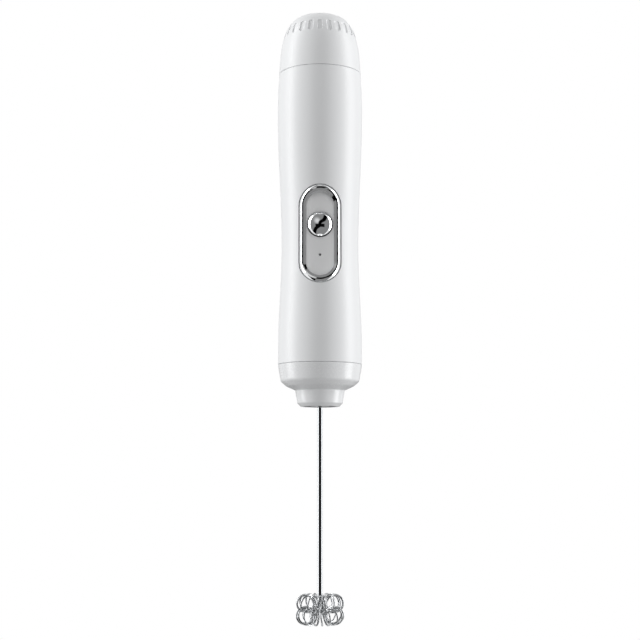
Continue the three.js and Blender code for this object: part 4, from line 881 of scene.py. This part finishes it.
def cap_outside(sizes):
    """The cap's outer grid: the dome's line turned through all flutes' columns. Columns gather
    at the flutes' edges, and each point moves in along the dome's normal by the flute's cut."""
    count = sizes.flutes

    def angle_at(z):
        return math.asin(min(1, (z / CAP_HEIGHT) ** (CAP_FULLNESS / 2)))

    low, high = angle_at(sizes.flute_foot / MM - 1.2), angle_at(sizes.flute_top / MM + 1.4)
    start = angle_at(FINE_SEAM / 2 + SEAM_ROUND)
    angles = stretches((start, low, high), (16, 56))
    angles = np.concatenate([angles, np.linspace(high, np.pi / 2, 22)])
    shape = (CAP_RADIUS, CAP_HEIGHT, CAP_FULLNESS, sizes.draft / MM)
    line = dome(*shape, angles)
    line[-1] = (0, CAP_HEIGHT)
    nudge = 1e-4
    along = dome(*shape, angles + nudge) - dome(*shape, angles - nudge)
    along[-1] = (-1, 0)
    along /= np.linalg.norm(along, axis=1)[:, None]
    step = np.linspace(-0.5, 0.5, FLUTE_SAMPLES, endpoint=False)
    bunched = step + FLUTE_BUNCHING * np.sin(2 * TURN * step)
    turn = (np.arange(count)[:, None] + bunched[None, :]).reshape(1, -1) * TURN / count
    radius, height = line[:, :1], line[:, 1:]
    across = radius * np.tile(bunched, count)[None, :] * TURN / count
    depth = flute_cut(across, height + 0 * across, sizes)
    cut_radius = radius - depth * along[:, 1:]
    cut_height = height + depth * along[:, :1]
    return turn, cut_radius[:, None], cut_height[:, None]


class FROTHER_OT_cap(Operator):
    """Make the fluted end cap with its bayonet lugs"""

    bl_idname = "frother.cap"
    bl_label = "End cap"

    def execute(self, context):
        sizes = settings("cap")
        turn, radius, height = cap_outside(sizes)
        bottom = FINE_SEAM / 2
        corner = (CAP_RADIUS, bottom, SEAM_ROUND)
        rim = rounded([(CAP_BORE, bottom), corner, (CAP_RADIUS, bottom + 1)], 4)[:-1]
        shoulder = GASKET_TOP + FIT
        shoulder_radius = NECK_RADIUS - SHOULDER_STEP
        lean = np.linspace(0.2, np.pi / 2, 26)
        radius_inside, height_inside = CAP_RADIUS - CAP_WALL, CAP_HEIGHT - CAP_WALL
        inner = dome(radius_inside, height_inside, CAP_FULLNESS, sizes.draft / MM, lean)
        inner[-1] = (0, height_inside)
        inner = inner[(inner[:, 0] < shoulder_radius) & (inner[:, 1] > shoulder + 1)][::-1]
        step = [
            tuple(inner[-1]),
            (shoulder_radius, shoulder, SHOULDER_ROUND),
            (CAP_BORE, shoulder, SHOULDER_ROUND),
            (CAP_BORE, LUG_TOP + 0.3),
        ]
        wall = np.concatenate([inner, rounded(step, 3)[1:]])
        tip = NECK_RADIUS - LUG_REACH + FIT
        lugged = np.where(np.abs(np.sin(turn)) > math.cos(LUG_HALF), tip, CAP_BORE)
        rows = [
            *wall,
            (CAP_BORE, LUG_TOP),
            (lugged, LUG_TOP),
            (lugged, LUG_FOOT),
            (CAP_BORE, LUG_FOOT),
            *rim,
            *zip(radius, height),
        ]
        all_radius = np.concatenate([r + 0 * turn for r, _ in rows])
        all_height = np.concatenate([z + 0 * turn for _, z in rows])
        points = about_axis(all_radius, turn, all_height + CAP_SEAM)
        surface = Surface().grid(points, close_columns=True)
        surface.piece("end_cap", "cap", "white_shell", "top_cap", 40)
        return {"FINISHED"}


NECK_WALL = 2.8
SLOT_PLAY = 0.4
SLOT_FOOT, SLOT_TOP = 2.7, 4.8
TWIST = TURN / 12
FRAME_FLOOR, FRAME_UNDERSIDE = -0.6, -2.2
FRAME_SKIRT_FOOT, FRAME_SKIRT_WALL = -13.1, 1.6
FLANGE_FOOT = -1.1
FLANGE_ROUND = 0.1
RIM_ROUND = 0.2
SEAL_Z, SEAL_RADIUS, SEAL_INSET = 1.3, 0.425, 0.35
GROOVE_HALF, GROOVE_DEPTH = 0.575, 1
GASKET_WIDTH, GASKET_ROUND = 2.05, 0.25

# A screw post's section, from the blind end of its hole down to its foot and up to its top.
POST = [(0, -3.2), (1.0, -3.2), (1.0, -7.1), (2.2, -7.1), (2.2, -0.9), (0, -0.9)]


def neck_columns():
    """The angles of the neck's columns, and whether each is in a way in or in a slot. Round
    each lug come the way in, the run up to the stop and then plain wall, with the columns
    doubled where one meets the next, so that a slot's side stands upright between them."""
    half = (LUG_WIDTH / 2 + SLOT_PLAY) / NECK_RADIUS
    stops = (-half, half, half + TWIST, TURN / 2 - half)
    counts = (10, 13, 46)
    turn = np.concatenate([np.linspace(stops[i], stops[i + 1], counts[i]) for i in range(3)])
    stretch = np.repeat((0, 1, 2), counts)
    angle = np.concatenate([turn + TURN / 4, turn + 3 * TURN / 4])
    return angle, np.tile(stretch == 0, 2), np.tile(stretch < 2, 2)


def window_reach(angle):
    """Distance from the axis to the socket's stadium window in each direction: the half width
    over the cosine along its straight sides, and beyond them the far root of its end circle."""
    half, spread = 1.95, 2.8
    along, across = np.abs(np.sin(angle)), np.maximum(np.abs(np.cos(angle)), 1e-9)
    end = spread * along + np.sqrt(np.maximum(half**2 - (spread * across) ** 2, 0))
    return np.where(half * along <= spread * across, half / across, end)


class FROTHER_OT_neck(Operator):
    """Make the end frame with its bayonet neck, and the seal and the gasket on it"""

    bl_idname = "frother.neck"
    bl_label = "Neck"

    def execute(self, context):
        self.make_frame()
        angle = np.linspace(0, TURN, 24, endpoint=False)
        out, up = SEAL_RADIUS * np.cos(angle), SEAL_RADIUS * np.sin(angle)
        section = np.stack([NECK_RADIUS - SEAL_INSET + out, SEAL_Z + up], axis=-1)
        seal = Surface().turned(section, 128, (0, 0, CAP_SEAM), close_rows=True)
        seal.piece("frame_seal", "handle", "silicone", "neck_seal")
        (_, _, low), (outer, _, high) = node_box("cap_gasket")
        inner = outer - GASKET_WIDTH
        start = ((inner + outer) / 2, low)
        corners = [(outer, low), (outer, high), (inner, high), (inner, low)]
        line = rounded([start, *((*corner, GASKET_ROUND) for corner in corners), start])[:-1]
        gasket = Surface().turned(line, 128, close_rows=True)
        gasket.piece("seat_gasket", "gasket", "silicone", "cap_gasket")
        return {"FINISHED"}

    def make_frame(self):
        """The frame's section carried round the axis as rows of radius and height, from the
        window's edge over the floor, up the neck, down its slotted outside and the skirt, and
        back under the floor. Two posts for the charging board's screws stand under it."""
        angle, way_in, slot = neck_columns()
        window, bore, inner = window_reach(angle), NECK_RADIUS - NECK_WALL, NECK_RADIUS - LUG_REACH
        rim, flange = -FINE_SEAM / 2, CAP_RADIUS - COUNTERBORE - FIT
        skirt = CAP_RADIUS - settings("grip").wall / MM - FIT - SLIP
        low, high = SEAL_Z - GROOVE_HALF, SEAL_Z + GROOVE_HALF
        groove = NECK_RADIUS - GROOVE_DEPTH
        slight = 0.3 * RIM_ROUND

        def notched(cut, radius):
            return np.where(cut, inner, radius)

        rows = [
            (window, FRAME_FLOOR),
            (bore, FRAME_FLOOR),
            (bore, NECK_HEIGHT - RIM_ROUND),
            (bore + slight, NECK_HEIGHT - slight),
            (bore + RIM_ROUND, NECK_HEIGHT),
            (inner, NECK_HEIGHT),
            (notched(way_in, NECK_RADIUS - RIM_ROUND), NECK_HEIGHT),
            (notched(way_in, NECK_RADIUS - slight), NECK_HEIGHT - slight),
            (notched(way_in, NECK_RADIUS), NECK_HEIGHT - RIM_ROUND),
            (notched(way_in, NECK_RADIUS), SLOT_TOP),
            (notched(slot, NECK_RADIUS), SLOT_TOP),
            (notched(slot, NECK_RADIUS), SLOT_FOOT),
            (NECK_RADIUS, SLOT_FOOT),
            (NECK_RADIUS, high),
            (groove, high),
            (groove, low),
            (NECK_RADIUS, low),
            (NECK_RADIUS, rim),
            (flange - FLANGE_ROUND, rim),
            (flange, rim - FLANGE_ROUND),
            (flange, FLANGE_FOOT),
            (skirt, FLANGE_FOOT),
            (skirt, FRAME_SKIRT_FOOT),
            (skirt - FRAME_SKIRT_WALL, FRAME_SKIRT_FOOT),
            (skirt - FRAME_SKIRT_WALL, FRAME_UNDERSIDE),
            (window, FRAME_UNDERSIDE),
        ]
        radius = np.stack([r + 0 * angle for r, _ in rows])
        height = np.stack([z + 0 * angle for _, z in rows]) + CAP_SEAM
        points = about_axis(radius, angle, height)
        body = Surface().grid(points, close_rows=True, close_columns=True)
        for screw in ("charge_board_screw_1", "charge_board_screw_2"):
            place = (middle(screw, 0), middle(screw, 1), CAP_SEAM)
            body.turned(np.array(POST), 40, place)
        body.piece("neck_frame", "handle", "frame_plastic", "end_frame")


# ---------- Nose ----------


NOSE_WALL = 1.8
SEAT_WIDTH = 1.4
CAVITY_FOOT_RADIUS = 7.4

# The spigot's top, and the lower side, the upper side and the depth of its seal's groove.
SPIGOT_TOP = 5
SPIGOT_GROOVE = (2.325, 3.375, 0.75)

# The bowl's corners below the straight shoulder, and then the collar's: down its outside,
# round its foot, up the recess for the shaft seal to the bush's seat, and over the wall
# round the bush to the cavity. Each is (radius, height, rounding).
BOWL = [(15.72, -6.74, 1.9), (13.6, -8.6, 3.5), (10.4, -10.05)]
COLLAR = [
    (9.9, -10.35, 0.4),
    (9.05, -15.45, 0.35),
    (7.75, -16.75, 0.12),
    (6.95, -16.75, 0.1),
    (6.95, -15.75),
    (2.55, -15.75),
    (2.55, -10.2),
    (3.35, -10.2),
    (3.35, -9.0),
    (4.75, -9.0),
    (4.75, -13.95),
    (7.15, -13.95),
    (7.15, -9.0),
]


class FROTHER_OT_nose(Operator):
    """Make the nose bowl with its collar, cavity, spigot and recess"""

    bl_idname = "frother.nose"
    bl_label = "Nose"

    def execute(self, context):
        shoulder = -FINE_SEAM / 2
        sharp = [(NOSE_RADIUS, shoulder - SEAM_ROUND), (NOSE_RADIUS, -0.5, 4), *BOWL]
        bowl = rounded(sharp, 14)[1:]
        collar = rounded([tuple(bowl[-1]), *COLLAR], 6)[1:]
        lean = np.linspace(0.05, np.pi / 2, 30)
        cavity = dome(NOSE_RADIUS - NOSE_WALL, 9.0, 3.55, 1.25, lean) * [1, -1]
        chassis = node_box("chassis")[1][0]
        seat = chassis - SEAT_WIDTH
        cavity = cavity[(cavity[:, 0] < seat) & (cavity[:, 0] > CAVITY_FOOT_RADIUS)]
        spigot = NOSE_RADIUS - NOSE_WALL - FIT
        corner = (NOSE_RADIUS, shoulder, SEAM_ROUND)
        upper = rounded([(spigot, shoulder), corner, (NOSE_RADIUS, shoulder - 1)], 4)[:-1]
        low, high, deep = SPIGOT_GROOVE
        top = [
            (seat, cavity[0, 1]),
            (seat, 0),
            (chassis + SLIP, 0),
            (chassis + SLIP, SPIGOT_TOP),
            (spigot, SPIGOT_TOP),
            (spigot, high),
            (spigot - deep, high),
            (spigot - deep, low),
            (spigot, low),
        ]
        line = np.concatenate([upper, bowl, collar, cavity[::-1], np.array(top, float)])
        line = subdivided(np.concatenate([line, line[:1]]), 1.2)[:-1]
        nose = Surface().turned(line, 144, (0, 0, NOSE_SEAM), close_rows=True)
        nose.piece("nose_bowl", "handle", "white_nose", "nose_cone")
        return {"FINISHED"}


# ---------- Whisk ----------


WHISK_Z = middle("whisk_ring_wire", 2)
ARM_GAP = 0.02


def coil_path(sizes, side, steps=44):
    """A coil's centre line and the vector from the ring's line out to it. The turn phase runs
    through one turn fewer than would fill the ring, and the azimuth moves one pitch each turn;
    the radius is the ring's plus the coil's times the cosine of the phase, and the height is
    the offset plus the coil's radius times its sine, upwards or downwards by the side."""
    ring, coil, offset = (v / MM for v in (sizes.ring, sizes.coil, sizes.offset))
    pitch = TURN / sizes.turns
    crossing = (np.pi + math.asin(offset / coil) + np.pi / 2) / TURN
    start = np.pi / 2 + side * pitch / 4 + pitch * (1 - crossing)
    turn = np.linspace(0, sizes.turns - 1, steps * (sizes.turns - 1) + 1)
    phase = TURN * turn - np.pi / 2
    azimuth = start + pitch * turn
    out = np.stack([np.cos(azimuth), np.sin(azimuth), 0 * azimuth], axis=-1)
    rise = np.array([0, 0, side])
    spoke = out * np.cos(phase)[:, None] + rise * np.sin(phase)[:, None]
    middle = out * ring + rise * offset + np.array([0, 0, WHISK_Z])
    return middle + spoke * coil, spoke


class FROTHER_OT_whisk(Operator):
    """Make the rod, the ring with its arm, and the two coils"""

    bl_idname = "frother.whisk"
    bl_label = "Whisk"

    def execute(self, context):
        sizes = settings("whisk")
        rod = sizes.rod / MM
        foot, top = node_box("whisk_rod")[0][2], node_box("whisk_rod")[1][2]
        line = rounded([(0, foot), (rod, foot, 0.5), (rod, top, 0.5), (0, top)], 6)
        shaft = Surface().turned(subdivided(line, 6), 40)
        shaft.piece("whisk_shaft", "whisk", "whisk_steel", "whisk_rod")
        self.make_ring(sizes, rod)
        for place, side in (("upper", 1), ("lower", -1)):
            path, spoke = coil_path(sizes, side)
            coil = Surface()
            swept(coil, path, spoke, sizes.coil_wire / MM / 2)
            node = f"whisk_coil_{place}"
            coil.piece(f"{place}_coil", "whisk", "whisk_steel", node, 60, "coil_steel")
        return {"FINISHED"}

    def make_ring(self, sizes, rod):
        """The ring and its arm: a circle of wire turned about the axis, and circles of the same
        wire in a row from the rod to the ring's middle, closed by a point at each end."""
        half = sizes.ring_wire / MM / 2
        ring = sizes.ring / MM
        angle = np.linspace(0, TURN, 16, endpoint=False)
        section = np.stack([ring + half * np.cos(angle), WHISK_Z + half * np.sin(angle)], axis=-1)
        surface = Surface().turned(section, 112, close_rows=True)
        away = np.linspace(rod + ARM_GAP, ring, 12)
        away = np.concatenate([away[:1], away, away[-1:]])[:, None]
        size = np.concatenate([[0], np.full(12, half), [0]])[:, None]
        x, z = size * np.cos(angle), WHISK_Z + size * np.sin(angle)
        surface.grid(on_front(x, z, -away), close_columns=True)
        surface.piece("whisk_ring", "whisk", "whisk_steel", "whisk_ring_wire", 60)


# ---------- Finishes ----------


SHEET_PITCH = 0.0005
WIRE_PITCH = 0.00032


def brushed(nodes, place, base, roughness, fine):
    """Fine lines round the axis: noise stretched across it."""
    squashed = nodes.add("ShaderNodeMapping", None, {"Vector": place, "Scale": (60, 60, 4000)})[0]
    lines = nodes.noise(squashed, 1)
    return base, roughness + (lines - 0.5) * 0.08, fine * 0.3 + lines * 0.7


def laminated(nodes, place, base, roughness, fine):
    """Thin sheets stacked along the axis: a wave in the relief and the colour."""
    z = parts(nodes, place)[2]
    sheets = nodes.maths("SINE", z * (TURN / SHEET_PITCH)) * 0.5 + 0.5
    return nodes.mixed(sheets * 0.5, base, (0.03, 0.03, 0.035)), roughness, sheets


def wound(nodes, place, base, roughness, fine):
    """Enamelled turns that run along the axis, side by side, with painted shade in the grooves
    between them.
    """
    x, y = parts(nodes, place)[:2]
    turns = nodes.maths("SINE", (x + y) * (TURN / WIRE_PITCH) * 0.7) * 0.5 + 0.5
    # Painted shade: the grooves between turns, where the relief is lowest, go to a dark copper, and
    # the crests come only part way back to the copper colour.
    return nodes.mixed(turns * 0.55, (0.12, 0.04, 0.02), base), roughness, turns


def printed(nodes, place, base, roughness, fine):
    """Solder mask over copper: lighter tracks along the edges of a network of cells."""
    chosen = {"distance": "MANHATTAN", "feature": "DISTANCE_TO_EDGE"}
    cells = nodes.add("ShaderNodeTexVoronoi", chosen, {"Vector": place, "Scale": 420})[0]
    track = 1 - nodes.step(cells, 0.03, 0.07)
    base = nodes.mixed(track * 0.6, base, (0.10, 0.30, 0.14))
    return base, roughness, track * 0.6 + fine * 0.2


def shrink_wrapped(nodes, place, base, roughness, fine):
    """A shrink sleeve with soft wrinkles along it."""
    long = nodes.add("ShaderNodeMapping", None, {"Vector": place, "Scale": (500, 500, 40)})[0]
    return base, roughness, nodes.noise(long, 1, 2)


# A shade that is a word is a colour of the sidebar.
FINISHES = {
    "white_shell": ("white", 0.40, dict(grain=2600, relief=0.03, mottle=0.006, cloud=35)),
    "white_nose": ("nose", 0.27, dict(grain=1500, relief=0.012, mottle=0.006, cloud=35)),
    "grey_panel": ("panel", 0.38, dict(grain=3200, relief=0.05, mottle=0.012, cloud=80)),
    "bezel_chrome": ("chrome", 0.05, dict(metal=1.0, grain=500, relief=0.001, mottle=0.01)),
    "button_chrome": ("chrome", 0.05, dict(metal=1.0, grain=500, relief=0.001, mottle=0.01)),
    "whisk_steel": ("steel", 0.11, dict(metal=1.0, grain=900, relief=0.002, mottle=0.02)),
    "coil_steel": ("wire", 0.03, dict(metal=1.0, grain=900, relief=0.001, mottle=0.02)),
    "sheet_steel": ((0.52, 0.53, 0.54), 0.34, dict(metal=1.0, pattern=brushed)),
    "contact_nickel": ((0.62, 0.58, 0.50), 0.30, dict(metal=1.0, pattern=brushed)),
    "bush_brass": ((0.72, 0.50, 0.20), 0.30, dict(metal=1.0, pattern=brushed)),
    "copper": ((0.62, 0.22, 0.09), 0.32, dict(metal=0.9, relief=0.4, pattern=wound)),
    "rotor_iron": ((0.16, 0.16, 0.17), 0.52, dict(metal=0.8, relief=0.3, pattern=laminated)),
    "magnet": ((0.05, 0.052, 0.06), 0.62, dict(grain=2400, relief=0.15, mottle=0.12)),
    "dark_rubber": ((0.07, 0.07, 0.073), 0.62, dict(grain=3000, relief=0.08, mottle=0.06)),
    "silicone": ((0.62, 0.63, 0.64), 0.48, dict(grain=2200, relief=0.03, mottle=0.02)),
    "frame_plastic": ((0.58, 0.59, 0.60), 0.50, dict(grain=1800, relief=0.05, mottle=0.02)),
    "black_plastic": ((0.018, 0.018, 0.020), 0.42, dict(grain=2200, relief=0.06, mottle=0.08)),
    "clear_plastic": (
        (0.85, 0.88, 0.90),
        0.12,
        dict(grain=800, relief=0.01, constants={"Transmission Weight": 0.85, "IOR": 1.49}),
    ),
    "board_green": ((0.03, 0.14, 0.06), 0.34, dict(relief=0.12, pattern=printed)),
    "cell_wrap": ((0.10, 0.22, 0.38), 0.28, dict(relief=0.06, pattern=shrink_wrapped)),
    "red_wire": ((0.50, 0.03, 0.02), 0.42, dict(grain=1500, relief=0.03, mottle=0.04)),
    "black_wire": ((0.02, 0.02, 0.022), 0.42, dict(grain=1500, relief=0.03, mottle=0.06)),
}
MADE = {}


def material(name):
    """The finish of this name, made the first time that a part asks for it."""
    if name not in MADE:
        shade, rough, options = FINISHES[name]
        if isinstance(shade, str):
            shade = tuple(getattr(settings("colours"), shade))
        MADE[name] = finish(f"{name}_finish", shade, rough, **options)
    return MADE[name]


class FROTHER_OT_inside(Operator):
    """Give every part that keeps its own mesh the finish of its material slot"""

    bl_idname = "frother.inside"
    bl_label = "Finishes of the inner parts"

    def execute(self, context):
        slots = {part["node"]: part["material_slot"] for part in frame["record"]["subparts"]}
        for name, node in frame["nodes"].items():
            if not node.hide_render:
                for slot in node.material_slots:
                    slot.material = material(slots[name])
        return {"FINISHED"}


# ---------- Stage ----------


LAMP_DISTANCE, LAMP_WIDTH, LAMP_HEIGHT = 1.2, 0.5, 1.8
FLOOR_LEVEL, FLOOR_RADIUS = -0.30, 0.95
FRONT_CARD_RADIUS, SIDE_CARD_RADIUS, SIDE_CARD_LEVEL = 1.1, 1.3, 0.25
WHITE = (1, 1, 1, 1)


class FROTHER_OT_stage(Operator):
    """Set up the camera, the studio light and the floor"""

    bl_idname = "frother.stage"
    bl_label = "Stage"

    def execute(self, context):
        studio = settings("studio")
        self.place_camera(studio)
        self.light_world(studio)
        self.hang_lights(studio)
        self.lay_floor()
        self.hang_cards()
        context.scene.view_settings.view_transform = "Standard"
        return {"FINISHED"}

    def place_camera(self, studio):
        data = bpy.data.cameras.new("camera")
        camera = linked("camera", data)
        camera.location = (0, -studio.distance, studio.height)
        tilt = math.atan2(studio.aim - studio.height, studio.distance)
        camera.rotation_euler = (math.pi / 2 + tilt, 0, 0)
        data.sensor_width = 36
        data.lens = data.sensor_width / 2 / math.tan(studio.half_view)
        bpy.context.scene.camera = camera

    def light_world(self, studio):
        """A dim room for diffuse light, with a level of its own above, below, in front and
        behind, and a plain white one for the camera and for mirrors and glass."""
        world = bpy.data.worlds.new("studio")
        nodes = Nodes(world)
        y, z = parts(nodes, nodes.add("ShaderNodeTexCoord")[0])[1:3]
        level = studio.room + nodes.step(z, 0.2, 0.9) * (studio.above - studio.room)
        level = level + nodes.step(y * -1, 0.5, 1.0) * (studio.fill - studio.room)
        level = level + nodes.step(y, 0.5, 1.0) * (studio.back - studio.room)
        level = level + nodes.step(z * -1, 0.2, 0.9) * (studio.below - studio.room)
        path = nodes.add("ShaderNodeLightPath")
        camera_ray, glossy_ray, transmission_ray = path[0], path[3], path[6]
        shown = nodes.maths("MAXIMUM", camera_ray, glossy_ray)
        shown = nodes.maths("MAXIMUM", shown, transmission_ray)
        soft = nodes.add("ShaderNodeBackground", None, {"Color": WHITE, "Strength": level})[0]
        white = nodes.add("ShaderNodeBackground", None, {"Color": WHITE, "Strength": 1.0})[0]
        mixed = nodes.add("ShaderNodeMixShader", None, {0: shown, 1: soft, 2: white})[0]
        nodes.add("ShaderNodeOutputWorld", None, {"Surface": mixed})
        bpy.context.scene.world = world

    def hang_lights(self, studio):
        """Two tall soft boxes, one on each side and a little in front, each with its share of
        the power and its height."""
        for name, side, share, height in (
            ("left_light", -1, 1.05, 0.60),
            ("right_light", 1, 0.95, 0.30),
        ):
            light = bpy.data.lights.new(name, "AREA")
            light.shape = "RECTANGLE"
            light.size, light.size_y = LAMP_WIDTH, LAMP_HEIGHT
            light.energy = studio.side_light * share
            lamp = linked(name, light)
            across, ahead = math.sin(studio.side_angle), math.cos(studio.side_angle)
            lamp.location = (side * LAMP_DISTANCE * across, -LAMP_DISTANCE * ahead, height)
            lamp.rotation_euler = (math.pi / 2, 0, side * studio.side_angle)

    def lay_floor(self):
        """A pale disc well below the whisk, its edge fading out."""
        angle = np.linspace(0, TURN, 96, endpoint=False)[None, :]
        radius = np.linspace(0, FLOOR_RADIUS, 24)[:, None]
        points = about_axis(radius, angle, FLOOR_LEVEL)
        floor = staged("floor", points, floor_material(), closed=True)
        floor.visible_glossy = False

    def hang_cards(self):
        """Cards that only mirrors see: a patterned one in front, round the camera, and a grey
        one behind each side, which draws a thin dark line along the object's edges."""
        side = np.radians(np.linspace(-72, 72, 36))[None, :]
        rise = np.radians(np.linspace(-72, 78, 36))[:, None]
        ball = about_axis(np.cos(rise), side, np.sin(rise)) * FRONT_CARD_RADIUS
        cards = [staged("front_card", ball, pattern_card())]
        height = np.linspace(-1, 1, 5)[:, None]
        for name, side in (("left_card", -1), ("right_card", 1)):
            angle = side * np.radians(np.linspace(150, 177, 12))[None, :]
            points = about_axis(SIDE_CARD_RADIUS, angle, height)
            cards.append(staged(name, points, glowing(name, SIDE_CARD_LEVEL)))
        for card in cards:
            card.visible_camera = False
            card.visible_transmission = False


def staged(name, points, look, closed=False):
    """A part of the studio, from one open grid in metres. It gives no light to matt surfaces
    and casts no shadow."""
    mesh = Surface().grid(points / MM, close_columns=closed).mesh(name, solid=False)
    mesh.materials.append(look)
    made = linked(name, mesh)
    made.visible_diffuse = False
    made.visible_shadow = False
    return made


def glowing(name, level):
    """A material that only gives out light: a level, or a pattern made by a function of x and z."""
    look = bpy.data.materials.new(name)
    nodes = Nodes(look)
    if callable(level):
        x, _, z = parts(nodes, nodes.add("ShaderNodeTexCoord")[3])
        level = level(nodes, x, z)
    glow = nodes.add("ShaderNodeEmission", None, {"Color": WHITE, "Strength": level})[0]
    nodes.add("ShaderNodeOutputMaterial", None, {"Surface": glow})
    return look


def pattern_card():
    """A grey card with a wavy black band that leans to the right and a black block low down,
    and a darker round patch up to the left."""
    across, up = 0.727, 0.545
    waves, wave_depth = 7.0, 0.07

    def level(nodes, x, z):
        lean = x * across - z * up + 0.03
        along = (x * up + z * across) * waves
        band = lean + nodes.maths("SINE", along) * wave_depth
        clear = nodes.step(nodes.maths("ABSOLUTE", band), 0.16, 0.25)
        wide = nodes.step(nodes.maths("ABSOLUTE", x), 0.52, 0.66)
        tall = nodes.step(nodes.maths("ABSOLUTE", z + 0.17), 0.17, 0.25)
        clear = nodes.maths("MINIMUM", clear, nodes.maths("MAXIMUM", wide, tall))
        away = ((x + 0.35) ** 2 + (z - 0.45) ** 2) ** 0.5
        return clear * (0.72 - nodes.step(away, 0.1, 0.5) * 0.47)

    return glowing("front_card", level)


def floor_material():
    """Pale matt floor that fades to nothing at its edge."""
    look = bpy.data.materials.new("floor")
    nodes = Nodes(look)
    place = nodes.add("ShaderNodeTexCoord")[3]
    x, y = parts(nodes, place)[:2]
    away = (x * x + y * y) ** 0.5
    fade = 1 - nodes.step(away, 0.6, 0.94)
    cloud = nodes.noise(place, 3, 2)
    base = nodes.mixed(cloud, (0.90, 0.90, 0.90), (0.92, 0.92, 0.92))
    inputs = {"Base Color": base, "Roughness": 0.8, "Alpha": fade}
    shader = nodes.add("ShaderNodeBsdfPrincipled", None, inputs)[0]
    nodes.add("ShaderNodeOutputMaterial", None, {"Surface": shader})
    return look


# ---------- Sidebar ----------


STEPS = ("stage", "grip", "front", "cap", "neck", "nose", "whisk", "inside")


class FROTHER_PT_sidebar(Panel):
    """Lists what the frother is made of, and the sizes and colours to change"""

    bl_label = "Milk frother"
    bl_idname = "FROTHER_PT_sidebar"
    bl_space_type = "VIEW_3D"
    bl_region_type = "UI"
    bl_category = "Frother"

    def draw(self, context):
        for group in GROUPS:
            box = self.layout.box()
            values = settings(group)
            for name in values.bl_rna.properties.keys():
                if name not in ("rna_type", "name"):
                    box.prop(values, name)
        for step in STEPS:
            self.layout.operator(f"frother.{step}")


GROUPS = {
    "grip": GripSizes,
    "cap": CapSizes,
    "front": FrontSizes,
    "whisk": WhiskSizes,
    "colours": Colours,
    "studio": StudioSettings,
}
OPERATORS = (
    FROTHER_OT_stage,
    FROTHER_OT_grip,
    FROTHER_OT_front,
    FROTHER_OT_cap,
    FROTHER_OT_neck,
    FROTHER_OT_nose,
    FROTHER_OT_whisk,
    FROTHER_OT_inside,
)


def register():
    for kind in (*GROUPS.values(), *OPERATORS, FROTHER_PT_sidebar):
        bpy.utils.register_class(kind)
    for name, kind in GROUPS.items():
        setattr(bpy.types.Scene, f"frother_{name}", PointerProperty(type=kind))


def unregister():
    for name in GROUPS:
        delattr(bpy.types.Scene, f"frother_{name}")
    for kind in (FROTHER_PT_sidebar, *reversed(OPERATORS), *reversed(list(GROUPS.values()))):
        bpy.utils.unregister_class(kind)


def main():
    register()
    for step in STEPS:
        getattr(bpy.ops.frother, step)()


if __name__ == "__main__":
    main()
